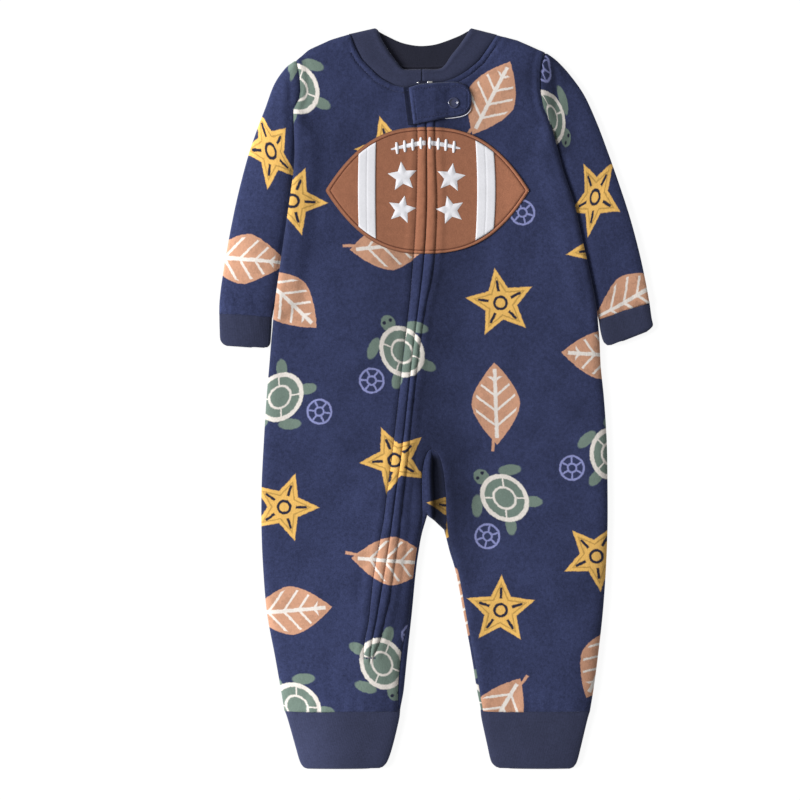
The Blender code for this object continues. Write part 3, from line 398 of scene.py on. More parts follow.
def distance_to(path, x, y):
    """Shortest distance from places to a run of straight stretches."""
    nearest = np.full(np.shape(x), np.inf)
    for (ax, ay), (bx, by) in zip(path, path[1:]):
        run_x = bx - ax
        run_y = by - ay
        t = np.clip(((x - ax) * run_x + (y - ay) * run_y) / (run_x ** 2 + run_y ** 2), 0.0, 1.0)
        nearest = np.minimum(nearest, np.hypot(x - ax - t * run_x, y - ay - t * run_y))
    return nearest


def run_of(path):
    """Length from a path's start to each of its points."""
    steps = np.linalg.norm(np.diff(np.asarray(path, float), axis=0), axis=1)
    return np.concatenate([[0.0], np.cumsum(steps)])


def along(path, fractions):
    """Places at fractions of a path's length."""
    points = np.array(path, float)
    lengths = run_of(points)
    at = np.asarray(fractions, float) * lengths[-1]
    return stack(*(np.interp(at, lengths, points[:, k]) for k in range(points.shape[1])))


def rounded(path, count=40):
    """The same run of points as a smooth curve."""
    points = np.array(path, float)
    numbers = np.arange(len(points), dtype=float)
    at = np.linspace(0, len(points) - 1, count)
    return stack(*(spline(numbers, points[:, k], at) for k in range(points.shape[1])))


def beside(path):
    """Unit direction across a path in plan, to the right of its run."""
    heading = np.gradient(path, axis=0)
    heading = heading / np.linalg.norm(heading, axis=1, keepdims=True)
    return stack(heading[:, 1], -heading[:, 0])


def inset_path(path, dx, dy):
    """A path moved aside."""
    return [(x + dx, y + dy) for x, y in path]


def ripple(x, y, length, seed):
    """Gentle unevenness between -1 and 1 with about this length between its crests."""
    chance = np.random.default_rng(seed)
    total = 0.0
    for _ in range(7):
        angle = chance.uniform(0, math.pi)
        size = 2 * math.pi / (length * chance.uniform(0.7, 1.5))
        phase = chance.uniform(0, 2 * math.pi)
        total = total + np.sin((x * math.cos(angle) + y * math.sin(angle)) * size + phase)
    return total / 4


def crease_depth(creases, x, y):
    """How far the creases lower the cloth at a place."""
    depth = 0.0
    for crease in creases:
        run_x = crease.to_x - crease.from_x
        run_y = crease.to_y - crease.from_y
        length = math.hypot(run_x, run_y)
        t = ((x - crease.from_x) * run_x + (y - crease.from_y) * run_y) / length ** 2
        aside = ((x - crease.from_x) * run_y - (y - crease.from_y) * run_x) / length
        aside = aside - crease.bow * 4 * t * (1 - t)
        fade = ease(-0.1, 0.3, t) * (1 - ease(0.65, 1.1, t))
        depth = depth + crease.depth * fade * bell(aside, crease.width)
    return depth


# ------------------------------------------------------------------ heights of the body
Flank = namedtuple("Flank", "edge way underarm_y")
RIGHT_FLANK = Flank(side_right, 1, 271.0)
LEFT_FLANK = Flank(side_left, -1, 257.0)
FLANKS = (RIGHT_FLANK, LEFT_FLANK)


def leg_gap_path():
    """The opening between the legs, from one hem round the crotch to the other."""
    heights = (-300.0, -270.0, -240.0, -200.0, -160.0, -140.0, -125.0)
    right = [(float(inner_right(y)) - EDGE_INSET, y) for y in heights]
    left = [(float(inner_left(y)) + EDGE_INSET, y) for y in heights]
    return [*right, *CROTCH_FOLD, *left[::-1]]


LEG_GAP = leg_gap_path()


def from_side(flank, x, y):
    """How far a place lies inside one side of the body."""
    return flank.way * (x - flank.edge(y))


def side_lift(flank, x, y):
    """Rise of one side over its sleeve: widest in the middle, running out at both ends."""
    top = flank.underarm_y
    tuck = TUCK * ease(64, 96, y) * (1 - ease(top - 38, top - 8, y))
    along_side = ease(LIFT_START, LIFT_END, y) * (1 - ease(top - 10, top + 1, y))
    return along_side * (1 - ease(tuck + 2, tuck * 1.6 + 13, from_side(flank, x, y)))


def lift(x, y):
    """How far the sleeves under the body's sides raise it."""
    return TUCK_LIFT * np.maximum(*(side_lift(flank, x, y) for flank in FLANKS))


def side_roll(flank, x, y):
    """Rounding at a side seam, gone where the sleeve is sewn on above it."""
    closed = 1 - ease(flank.underarm_y - 7, flank.underarm_y + 7, y)
    return 1 - closed * (1 - roll(from_side(flank, x, y) - EDGE_INSET, EDGE_ROLL))


def beside_zip(x, y):
    """Distance from the zip, and that of the topstitching on the same side."""
    aside = x - zip_x(y)
    return aside, np.abs(aside), np.where(aside < 0, stitch_right(y), stitch_left(y))


def above_zip_end(y):
    """0 below the zip and 1 along it."""
    return ease(ZIP_END_Y - 9, ZIP_END_Y + 4, y)


def zip_relief(x, y):
    """Folded lips beside the zip, their topstitching's groove and the puckers outside it."""
    _, off, seam = beside_zip(x, y)
    share = np.clip(off / seam, 0.0, 1.0)
    waver = 1 + 0.16 * ripple(x * 0.2, y, 14, 4)
    dome = LIP_RISE * waver * (1 - np.abs(2 * share - 1) ** 2.6)
    dome = np.where(off < seam, dome, 0.7 * np.sin(math.pi * np.clip((off - seam) / 10, 0, 1)) ** 2)
    fold = -1.5 * (1 - roll(off - SLIT_HALF, 1.4))
    groove = -0.55 * bell(off - seam, 1.0) * (0.8 + 0.3 * ripple(x * 0.2, y, 9, 3))
    pucker = 0.5 * ripple(x * 0.3, y, 11, 5) * bell(np.maximum(off - seam, 0), 9) * ease(1, 5, off)
    return above_zip_end(y) * (dome + fold + groove + pucker)


def leg_tone(x, y):
    """Painted light and shade across the legs: lighter at their outer sides and darker at their inner
    ones.
    """
    right = (x - side_right(y)) / np.maximum(arch_right(y) - side_right(y), 1)
    left = (x - arch_left(y)) / np.maximum(side_left(y) - arch_left(y), 1)
    at_right = 0.16 - 0.34 * ease(0.25, 1.0, right)
    at_left = 0.1 * bell(left - 0.55, 0.3) - 0.14 * bell(left, 0.22) - 0.12 * bell(left - 1, 0.15)
    return (1 - ease(-240, -60, y)) * np.where(x < ARCH_X, at_right, at_left)


def front_tone(x, y):
    """Painted light and shade on the front, with a little random unevenness."""
    aside, off, seam = beside_zip(x, y)
    # painted highlight on the lips, painted shade in the topstitching's groove and in bands beside the
    # zip
    lips = 0.16 * bell(off - seam * 0.5, seam * 0.42) - 0.28 * bell(off - seam - 0.4, 1.2)
    right_of_it = ease(5, 9, aside) * (1 - ease(14, 62, aside)) * (1 - ease(-60, -130, y))
    left_of_it = ease(5, 9, -aside) * (1 - ease(20, 60, -aside))
    left_of_it = left_of_it * ease(-20, 60, y) * (1 - ease(190, 230, y))
    tone = above_zip_end(y) * lips - 0.34 * right_of_it - 0.2 * left_of_it + leg_tone(x, y)
    for spot in FRONT_SPOTS:
        reach = np.hypot((x - spot.x) / spot.half_x, (y - spot.y) / spot.half_y)
        tone = tone + spot.tone * bell(reach, 1)
    tone = tone - 0.1 * bell(side_left(y) - x, 9) + 0.06 * bell(x - side_right(y) - 22, 22)
    # painted light down the middle of the right leg, above its hem, and along the body's right side
    tone = tone + 0.22 * bell(x + 80, 30) * (1 - ease(-110, -40, y))
    tone = tone + 0.14 * bell(x + 76, 28) * (1 - ease(-262, -225, y))
    tone = tone + 0.1 * bell(x + 108, 42) * ease(-120, -50, y) * (1 - ease(110, 160, y))
    return tone + 0.05 * ripple(x, y, 42, 77)


def nearest(paths, x, y):
    """Shortest distance from places to any of some paths."""
    return np.minimum.reduce([distance_to(path, x, y) for path in paths])


def seam_relief(x, y):
    """Dips beside the neck, armhole and arch seams, with the neck's topstitching."""
    neck = nearest((RIGHT_NECK, LEFT_NECK), x, y)
    dip = -0.7 * bell(neck, 1.3) - 0.9 * bell(neck - NECK_STITCHES, 1.0) + 0.4 * bell(neck - 2.7, 1.5)
    dip += 0.45 * bell(neck - 8.6, 2.4)
    arm = nearest((RIGHT_ARMHOLE, LEFT_ARMHOLE), x, y)
    dip += -0.6 * bell(arm + 0.3, 1.2) + 0.9 * bell(arm - 2.6, 2.0) - 0.5 * bell(arm - 7, 2.4)
    arch = nearest(ARCH_SEAMS, x, y)
    below = y < ARCH_Y + 14
    dip += np.where(below, -1.4 * (1 - roll(arch, 3.2)) + 0.35 * bell(arch - 5, 2.4), 0.0)
    return dip


def hem_gathers(x, y):
    """The legs are eased into their cuffs: small upright ripples that run out upwards."""
    near = np.exp(-np.maximum(y - HEM_Y, 0) / 13.0)
    ridges = ripple(x, y * 0.12, 9.5, 11)
    return near * (0.6 * ridges + 0.5) - 1.3 * (1 - roll(y - HEM_Y + HEM_OVER, 2.6))


def front_form(x, y):
    """Middle of the front's wall above the floor, without its small relief."""
    raised = lift(x, y)
    pressed = raised / TUCK_LIFT
    seam = SEAM_Z + 0.5 * pressed
    rise = FRONT_Z - seam - (AIR - 1.2) * pressed
    for flank in FLANKS:
        rise = rise * side_roll(flank, x, y)
    for path in (RIGHT_SHOULDER, LEFT_SHOULDER, LEG_GAP):
        rise = rise * roll(distance_to(path, x, y), EDGE_ROLL)
    return raised + seam + rise


def leg_puff(x, y):
    """The legs are rounder than the body."""
    right = (x - side_right(y)) / np.maximum(np.minimum(inner_right(y), ARCH_X) - side_right(y), 1)
    left = (side_left(y) - x) / np.maximum(side_left(y) - np.maximum(inner_left(y), ARCH_X), 1)
    share = np.clip(np.where(x < ARCH_X, right, left), 0, 1)
    return PUFF * 4 * share * (1 - share) * (1 - ease(-170, -20, y))


def front_side(flank, y):
    """A side edge of the front, a little further out at the underarm to close its corner."""
    top = flank.underarm_y
    cover = ease(top - 50, top - 22, y) * (1 - ease(0, 6, y - top))
    return flank.edge(y) + flank.way * (EDGE_INSET - UNDERARM_COVER * cover)


def side_fold(x, y):
    """Rounded fold of the body's sides where they lie over the sleeves."""
    depth = 0.0
    for flank in FLANKS:
        off = flank.way * (x - front_side(flank, y))
        over = ease(LIFT_START - 14, LIFT_START + 6, y)
        over = over * (1 - ease(flank.underarm_y - 6, flank.underarm_y + 2, y))
        depth = depth + over * (-1.5 * (1 - roll(off, 2.6)) + 0.7 * bell(off - 4.2, 2.6))
    return depth


def from_edges(x, y):
    """0 at the body's outline and 1 well inside it."""
    sides = [from_side(flank, x, y) for flank in FLANKS]
    return ease(2, 22, np.minimum.reduce([*sides, distance_to(LEG_GAP, x, y)]))


def front_height(x, y):
    """Middle of the front's wall with its lips, seams, creases and gathers."""
    inner = from_edges(x, y)
    soft = inner * (0.55 * ripple(x, y, 95, 21) + 0.22 * ripple(x, y, 34, 22) + 0.5)
    soft = soft - inner * crease_depth(FRONT_CREASES, x, y)
    soft = soft + leg_puff(x, y) + side_fold(x, y)
    return front_form(x, y) + soft + zip_relief(x, y) + seam_relief(x, y) + hem_gathers(x, y) * inner


def back_height(x, y):
    """Middle of the back's wall: on the floor, lifted a little only along its creases."""
    hollow = crease_depth(BACK_CREASES, x, y) * from_edges(x, y)
    seam = 0.5 * bell(y - HEM_Y, 1.8)
    return BACK_Z + lift(x, y) + 0.8 * np.maximum(hollow, 0) + seam


# ------------------------------------------------------------------ making objects
def new_object(bm, name, mats):
    """Finish a mesh that was modelled in millimetres and let it ride on the garment."""
    bmesh.ops.scale(bm, vec=(MM, MM, MM), verts=bm.verts)
    mesh = bpy.data.meshes.new(name)
    bm.to_mesh(mesh)
    bm.free()
    for mat in mats:
        mesh.materials.append(mat)
    mesh.shade_smooth()
    obj = bpy.data.objects.new(name, mesh)
    bpy.context.scene.collection.objects.link(obj)
    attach(obj, "root")
    return obj


def cloth_object(bm, name, mats, wall, weld=0.02, flip=False):
    """A shell of cloth: its outer side in the first material, its inner side in the second."""
    bmesh.ops.remove_doubles(bm, verts=bm.verts, dist=weld)
    if flip:
        bmesh.ops.reverse_faces(bm, faces=bm.faces)
    obj = new_object(bm, name, mats)
    shell = obj.modifiers.new("wall", "SOLIDIFY")
    shell.thickness = wall * MM
    shell.offset = 0.0
    shell.use_even_offset = False
    shell.material_offset = len(mats) - 1
    return obj


def add_patch(bm, points, cloth, tone=None):
    """A grid of faces through an array of points, with the cloth's own lengths as its UV map.

    Tone is painted light and shade: how much lighter or darker the colour is made at each point.
    """
    rows, columns = points.shape[:2]
    layer = bm.loops.layers.uv.get("cloth") or bm.loops.layers.uv.new("cloth")
    shade = bm.verts.layers.float.get("tone") or bm.verts.layers.float.new("tone")
    made = bmesh.ops.create_grid(bm, x_segments=columns - 1, y_segments=rows - 1, size=0.5)
    for vert in made["verts"]:
        i = round((vert.co.y + 0.5) * (rows - 1))
        j = round((vert.co.x + 0.5) * (columns - 1))
        vert.co = points[i, j]
        vert[shade] = 0.0 if tone is None else tone[i, j]
        for loop in vert.link_loops:
            loop[layer].uv = cloth[i, j] * MM


def patch_object(points, cloth, tone, name, mats, wall, **finish):
    """One grid of cloth made into an object of its own."""
    bm = bmesh.new()
    add_patch(bm, points, cloth, tone)
    return cloth_object(bm, name, mats, wall, **finish)


def flat_cloth(x, y, turn=0.0, shift=(0.0, 0.0)):
    """Cloth coordinates of a piece that lies flat, turned and shifted on its roll of cloth."""
    c = math.cos(math.radians(turn))
    s = math.sin(math.radians(turn))
    return stack(x * c - y * s + shift[0], x * s + y * c + shift[1])


def across(start, end, near, far, count):
    """Columns across sections: close together at each end as asked, even between."""
    start = np.atleast_1d(start)[:, None]
    end = np.atleast_1d(end)[:, None]
    fit = np.minimum(1.0, 0.9 * (end - start) / max(near[-1] + far[-1], 0.01))
    low = start + np.array(near)[None, :] * fit
    high = end - np.array(far)[None, ::-1] * fit
    share = np.linspace(0, 1, count + 1)[None, :]
    middle = low[:, -1:] + (high[:, :1] - low[:, -1:]) * share
    return np.concatenate([low[:, :-1], middle, high[:, 1:]], axis=1)


def upto(*stretches):
    """Values along several stretches, each given as its end and its number of steps."""
    values = [0.0]
    for end, count in stretches:
        values += list(np.linspace(values[-1], end, count + 1)[1:])
    return values


def fan(base, top, edges, steps):
    """Rows from a straight section up to a curved top, keeping to both side edges."""
    if len(base) != len(top):
        raise ValueError(f"a fan needs as many points on top, and has {len(base)} and {len(top)}")
    step = np.array(steps)[:, None, None]
    rows = base[None] * (1 - step) + top[None] * step
    share = np.linspace(0, 1, len(base))[None, :, None]
    low = along(edges[0], steps)[:, None, :] - rows[:, :1, :]
    high = along(edges[1], steps)[:, None, :] - rows[:, -1:, :]
    return rows + low * (1 - share) + high * share


def top_edge(parts, counts):
    """Points along several joined stretches, so many on each."""
    pieces = [along(path, np.linspace(0, 1, count + 1))[:-1] for path, count in zip(parts, counts)]
    return np.concatenate([*pieces, np.array([parts[-1][-1]], float)])


ROLL_STEPS = tuple(EDGE_ROLL * (1 - math.cos(math.radians(a))) for a in (0, 14, 28, 43, 58, 74, 90))
SIDE_STEPS = ROLL_STEPS + tuple(np.arange(11.5, 32, 2.5))
LIP_STEPS = tuple(upto((2, 4), (6, 5), (11, 9), (16, 3)))
ARCH_STEPS = tuple(upto((3.2, 4), (9, 3)))
FAN_STEPS = tuple(1 - v for v in reversed(upto((0.14, 12), (0.22, 4), (1, 22))))
BACK_STEPS = tuple(upto((8.5, 3), (30, 8)))


def front_rows():
    """Levels of the front's rows, closest at the hems and round the arch's top."""
    legs = upto((2, 4), (8, 5), (46, 14), (52, 4), (180, 46), (228, 18))
    legs = HEM_Y + np.array([-HEM_OVER, -0.6, *legs[:-1]])
    arch = np.array([-59.0, -57, -55, -53, -51.5, -50, -49, -48, ARCH_Y])
    body = ARCH_Y + np.array(upto((12, 5), (297, 102))[1:])
    return np.concatenate([legs, arch, body])


def arch_line(y, seam, gap):
    """Edge at the arch's seam, and above its top the line where two patches of the front meet."""
    return np.where(y < ARCH_Y, seam(y) + gap, ARCH_X + (y - ARCH_Y) * ARCH_LEAN)


def level_rows(x, y):
    """The y of each point of a grid whose rows are level."""
    return np.repeat(y[:, None], x.shape[1], axis=1)


def add_rows(bm, x, y, height, shift, tone=None):
    """A patch of flat-lying cloth over a grid of places."""
    tones = None if tone is None else tone(x, y)
    add_patch(bm, stack(x, y, height(x, y)), flat_cloth(x, y, shift=shift), tones)


def add_front_body(bm, y):
    """The three stretches of the front below the chest: outside the zip, inside it and the left."""
    right, left = (front_side(flank, y) for flank in FLANKS)
    sections = (
        across(right, zip_x(y) - SLIT_HALF, SIDE_STEPS, LIP_STEPS, 22),
        across(zip_x(y) + SLIT_HALF, arch_line(y, arch_right, -SEAM_GAP), LIP_STEPS, ARCH_STEPS, 3),
        across(arch_line(y, arch_left, SEAM_GAP), left, ARCH_STEPS, SIDE_STEPS, 28),
    )
    for x in sections:
        add_rows(bm, x, level_rows(x, y), front_height, FRONT_SHIFT, front_tone)
    return [stack(x[-1], np.full(x.shape[1], y[-1])) for x in sections]


def add_chest(bm, base, side, neck, shoulder, armhole, on_shoulder):
    """The front from the chest up to one shoulder and its half of the neck, from the zip outwards."""
    shoulder = inset_path(shoulder, -0.3 * side, -EDGE_INSET)
    neck = inset_path(neck, 0.2 * side, -SEAM_GAP)
    neck[0] = (neck[0][0] + side * SLIT_HALF, neck[0][1])
    neck[-1] = shoulder[0]
    armhole = [tuple(base[-1]), *inset_path(armhole[::-1], side * ARMHOLE_OVER, 0)]
    armhole[-1] = shoulder[-1]
    top = top_edge((rounded(neck), shoulder), (len(base) - 1 - on_shoulder, on_shoulder))
    rows = fan(base, top, ([tuple(base[0]), neck[0]], armhole), FAN_STEPS)[:, ::side]
    add_rows(bm, rows[..., 0], rows[..., 1], front_height, FRONT_SHIFT, front_tone)


def close_below_zip(bm):
    """Below the zip's end the two sides of the slit are one cloth."""
    for vert in bm.verts:
        x, y, _ = vert.co
        if y > ZIP_END_Y + 0.5:
            continue
        middle = float(zip_x(y))
        if abs(abs(x - middle) - SLIT_HALF) < 0.01:
            vert.co = (middle, y, float(front_height(np.array([middle]), np.array([y]))[0]))


def make_front(mats):
    """The front with both legs, slit for the zip."""
    bm = bmesh.new()
    outer, inner, left = add_front_body(bm, front_rows())
    left = np.concatenate([inner[:-1], left])
    add_chest(bm, outer[::-1], -1, RIGHT_NECK[::-1], RIGHT_SHOULDER[::-1], RIGHT_ARMHOLE, 20)
    add_chest(bm, left, 1, LEFT_NECK, LEFT_SHOULDER, LEFT_ARMHOLE, 22)
    close_below_zip(bm)
    obj = cloth_object(bm, "front_cloth", mats, FLEECE)
    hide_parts("front_panel")


def back_right(y):
    """Columns of the back's right leg, or of its right half above the crotch."""
    end = np.minimum(inner_right(y), CROTCH_RIGHT[0]) - BACK_INSET
    return across(side_right(y) + BACK_INSET, end, BACK_STEPS, (0, 4), 26)


def back_left(y):
    """Columns of the back's left leg or half."""
    start = np.maximum(inner_left(y), CROTCH_LEFT[0]) + BACK_INSET
    return across(start, side_left(y) - BACK_INSET, (0, 4), BACK_STEPS, 26)


def add_back_legs(bm):
    """Both legs up to their tops at the crotch, and the row of points that both tops make."""
    tops = []
    for columns, corner in ((back_right, CROTCH_RIGHT), (back_left, CROTCH_LEFT)):
        y = np.linspace(HEM_Y, corner[1] + BACK_INSET + 0.5, 50)
        x = columns(y)
        add_rows(bm, x, level_rows(x, y), back_height, BACK_SHIFT)
        tops.append(stack(x[-1], np.full(x.shape[1], y[-1])))
    return np.concatenate(tops)


def make_back(mats):
    """The back lies on the floor, apart from its sides over the sleeves."""
    bm = bmesh.new()
    tops = add_back_legs(bm)
    body = np.linspace(-100, CHEST_Y, 101)
    x = np.concatenate([back_right(body), back_left(body)], axis=1)
    points = np.concatenate([tops[None], stack(x, level_rows(x, body))])
    add_rows(bm, points[..., 0], points[..., 1], back_height, BACK_SHIFT)

    base = points[-1]
    shoulder_right = inset_path(RIGHT_SHOULDER, 1.0, -BACK_INSET)
    shoulder_left = inset_path(LEFT_SHOULDER, -1.0, -BACK_INSET)
    neck = inset_path(BACK_NECK, 0, -SEAM_GAP)
    shoulder_right[-1] = neck[0]
    shoulder_left[0] = neck[-1]
    armhole_right = [tuple(base[0]), *inset_path(RIGHT_ARMHOLE[::-1], BACK_INSET - 0.4, 0)]
    armhole_left = [tuple(base[-1]), *inset_path(LEFT_ARMHOLE[::-1], 0.4 - BACK_INSET, 0)]
    armhole_right[-1] = shoulder_right[0]
    armhole_left[-1] = shoulder_left[-1]
    counts = (18, len(base) - 1 - 36, 18)
    top = top_edge((shoulder_right, rounded(neck), shoulder_left), counts)
    rows = fan(base, top, (armhole_right, armhole_left), np.linspace(0, 1, 28))
    add_rows(bm, rows[..., 0], rows[..., 1], back_height, BACK_SHIFT)
    obj = cloth_object(bm, "back_cloth", mats, FLEECE, flip=True)
    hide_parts("back_panel")


# ------------------------------------------------------------------ crotch piece
def crotch_row(step):
    """A row of the crotch piece, from above the arch's top at 0 to the crotch fold at 1."""
    top = ARCH_Y + 1.5
    y_right, y_left = (top + (fold[1] - top) * step for fold in CROTCH_FOLD)
    right = np.array((arch_right(y_right) - CROTCH_UNDER, y_right))
    left = np.array((arch_left(y_left) + CROTCH_UNDER, y_left))
    fold_right = np.array((CROTCH_FOLD[0][0], y_right))
    fold_left = np.array((CROTCH_FOLD[1][0], y_left))
    share = ease(0, 1, step)
    inner_a = right + (left - right) * 0.2 * (1 - share) + (fold_right - right) * share
    inner_b = left + (right - left) * 0.2 * (1 - share) + (fold_left - left) * share
    return top_edge(((right, inner_a), (inner_a, inner_b), (inner_b, left)), (8, 24, 8))


def crotch_share(x, y):
    """Share of the way across the crotch piece, and distance from its nearer seam."""
    low = arch_right(y)
    high = arch_left(y)
    return (x - low) / np.maximum(high - low, 1.0), np.minimum(x - low, high - x)


def crotch_height(x, y):
    """The crotch piece folds between the legs: a ridge at its right, a deep valley beside it."""
    share, inside = crotch_share(x, y)
    within = np.clip(share, 0, 1)
    fade = (1 - ease(ARCH_Y - 14, ARCH_Y + 1, y)) * ease(CROTCH_LEFT[1], CROTCH_LEFT[1] + 10, y)
    valley = ease(0.34, 0.52, within) * (1 - ease(0.74, 1.0, within)) * fade
    ridge = bell(within - 0.24, 0.12) * fade
    low_end = ease(-134, -112, y)
    seam = -0.5 * bell(np.minimum(inside, 3), 1.2) - 2.2 * (1 - ease(-1.2, 0.2, inside))
    return np.maximum(front_form(x, y) + (0.5 * ridge - 3.4 * valley) * low_end + seam, CROTCH_WALL / 2)


def crotch_tone(x, y):
    """The crotch piece's valley is in shade and its ridge is a little lighter."""
    share, _ = crotch_share(x, y)
    fade = (1 - ease(ARCH_Y - 10, ARCH_Y + 1, y)) * ease(CROTCH_LEFT[1] - 12, CROTCH_LEFT[1] + 6, y)
    valley = ease(0.3, 0.46, share) * (1 - 0.25 * ease(0.85, 1.0, share)) * fade
    return 0.12 * bell(share - 0.2, 0.12) * fade - 0.72 * valley - 0.12


def make_crotch(mats):
    """Cloth between the legs that wraps forward to the arch and runs down both inner legs."""
    bm = bmesh.new()
    rows = np.stack([crotch_row(step) for step in np.linspace(1, 0, 44) ** 1.2])
    add_rows(bm, rows[..., 0], rows[..., 1], crotch_height, CROTCH_SHIFT, crotch_tone)

    def add_strip(start, end, low_y, top):
        y = np.linspace(HEM_Y, low_y, 48)
        x = across(start(y), end(y), (0,), (0,), 8)
        points = np.concatenate([stack(x, level_rows(x, y)), top[None]])
        add_rows(bm, points[..., 0], points[..., 1], crotch_height, CROTCH_SHIFT, crotch_tone)

    add_strip(lambda y: arch_right(y) - CROTCH_UNDER, lambda y: inner_right(y) - EDGE_INSET,
              -118, rows[0, :9])
    add_strip(lambda y: inner_left(y) + EDGE_INSET, lambda y: arch_left(y) + CROTCH_UNDER,
              -130, rows[0, -9:])
    obj = cloth_object(bm, "crotch_cloth", mats, CROTCH_WALL)
    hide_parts("crotch_piece")


# ------------------------------------------------------------------ sleeves and cuffs
def outward(before, after, side):
    """Unit direction across an edge in plan, to the right of its run if side is 1."""
    run = math.dist(before, after)
    return np.array((side * (after[1] - before[1]) / run, side * (before[0] - after[0]) / run))


def fold_round(center, way, radius, floor_z, angles):
    """Points round one fold of a tube, from its underside or back down to it."""
    angle = np.radians(angles)[:, None]
    flat = center + way * radius * np.cos(angle)
    return np.concatenate([flat, floor_z + radius * (1 + np.sin(angle))], axis=1)


def over_height(ring, off, width, pressed):
    """Height of a tube's upper wall at a distance from its outer fold."""
    z = ring.middle_z - (ring.middle_z - ring.outer_z) * (1 - roll(off, FOLD_REACH))
    z = z - (ring.middle_z - ring.inner_z) * (1 - roll(width - off, FOLD_REACH))
    return ring.inner_z + (z - ring.inner_z) * pressed


def tube_section(before, ring, after, wall, side, flank, seam):
    """Corners round one ring of a tube pressed flat on the floor, underside first."""
    floor_z = wall / 2
    outer = np.array((ring.outer_x, ring.outer_y))
    inner = np.array((ring.inner_x, ring.inner_y))
    outer_way = outward((before.outer_x, before.outer_y), (after.outer_x, after.outer_y), side)
    inner_way = outward((before.inner_x, before.inner_y), (after.inner_x, after.inner_y), -side)
    outer_round = (ring.outer_z - floor_z) / 2
    inner_round = (ring.inner_z - floor_z) / 2
    start = outer - outer_way * (wall / 2 + outer_round)
    end = inner - inner_way * (wall / 2 + inner_round)
    width = float(np.linalg.norm(end - start))

    def line(t):
        """Across the tube, bent toward the armhole seam as far as the ring asks."""
        curve = (ring.curve * ease(0, 0.12, t) * (1 - ease(0.88, 1, t)))[:, None]
        straight = start + (end - start) * t[:, None]
        return straight * (1 - curve) + along(seam, t) * curve

    low = line(np.linspace(0, 1, 13)[:-1])
    under = raised(low, np.full(len(low), floor_z))
    near = upto((FOLD_REACH, 6))
    off = across(0.0, width, near, near, 14)[0][::-1][:-1]
    high = line(off / width)
    over = raised(high, over_height(ring, off, width, press(flank, high[:, 0], high[:, 1])))
    angles = np.arange(-90, 89, 22.5)
    section = np.concatenate([
        under, fold_round(end, inner_way, inner_round, floor_z, angles),
        over, fold_round(start, outer_way, outer_round, floor_z, -angles),
    ])
    return np.concatenate([section, section[:1]])


def press(flank, x, y):
    """0 where a sleeve lies under the body's side, 1 where it is free, as a cuff is all over."""
    if flank is None:
        return np.ones_like(x)
    free = ease(flank.underarm_y - 8, flank.underarm_y + 4, y)
    return np.maximum(free, roll(-from_side(flank, x, y) - 1.5, 12))


def tube_points(rings, wall, per_ring, flank=None, seam=((0, 0), (1, 0))):
    """Points of a flattened tube, a row for each section along it."""
    count = (len(rings) - 1) * per_ring
    rows = [between(rings, i / per_ring) for i in range(count + 1)]
    side = 1 if rows[-1].outer_x < rows[-1].inner_x else -1
    last = count - per_ring // 2
    sections = []
    for i, row in enumerate(rows):
        before = rows[max(min(i, last) - 1, 0)]
        after = rows[min(i + 1, last)]
        sections.append(tube_section(before, row, after, wall, side, flank, seam))
    return np.stack(sections)


def tube_cloth(points, shift=(0.0, 0.0)):
    """Cloth lengths round and along a tube."""
    steps = np.linalg.norm(np.diff(points, axis=1), axis=2)
    round_it = np.concatenate([np.zeros((len(points), 1)), np.cumsum(steps, axis=1)], axis=1)
    round_it = round_it - round_it[:, -1:] / 2
    along_it = run_of(points.mean(axis=1))[:, None] + np.zeros_like(round_it)
    return stack(round_it + shift[0], shift[1] - along_it)


def tuck(points, move, level, share):
    """Add a first row that runs on inside the neighbouring piece, pressed toward a level."""
    first = points[0] + np.array((*move, 0.0))
    first[:, 2] = level + (first[:, 2] - level) * share
    return np.concatenate([first[None], points])


def share_across(points):
    """0 at a tube's right fold and 1 at its left one."""
    x = points[..., 0]
    low = x.min(axis=1, keepdims=True)
    return (x - low) / np.maximum(x.max(axis=1, keepdims=True) - low, 1)


def tube_tone(points, at_right, at_left):
    """Painted light and shade across a tube, toward each of its folds."""
    share = share_across(points)
    return at_right * (1 - ease(0.1, 0.75, share)) + at_left * ease(0.4, 1.0, share)


def from_ring(points, row):
    """Distance of a flattened tube's points from one of its rings, seen from above."""
    ring = (tuple(points[row, 0, :2]), tuple(points[row, len(points[0]) // 2, :2]))
    return distance_to(ring, points[..., 0], points[..., 1])


def upper(points):
    """1 on a flattened tube's upper wall, 0 on its underside."""
    return ease(2.2, 4.4, points[..., 2])


def add_sleeve_relief(points, flank, seam):
    """Creases, the armhole's dip and the gathers above the cuff, on the upper wall."""
    x, y, _ = np.moveaxis(points, -1, 0)
    free = upper(points) * np.clip(press(flank, x, y), 0.0, 1.0)
    hem = from_ring(points, -1)
    arm = distance_to(seam, x, y)
    relief = 0.4 * ripple(x, y, 60, 31) + 0.18 * ripple(x, y, 24, 32) + 0.2
    relief = relief - crease_depth(SLEEVE_CREASES, x, y)
    gathers = np.exp(-hem / 9) * (0.6 * ripple(x, y * 0.2, 8, 33) + 0.4)
    relief = relief + gathers - 1.0 * (1 - roll(hem, 2.2))
    relief = relief - 1.2 * bell(arm, 1.8) + 0.4 * bell(arm - 5, 2.6)
    points[..., 2] += relief * free


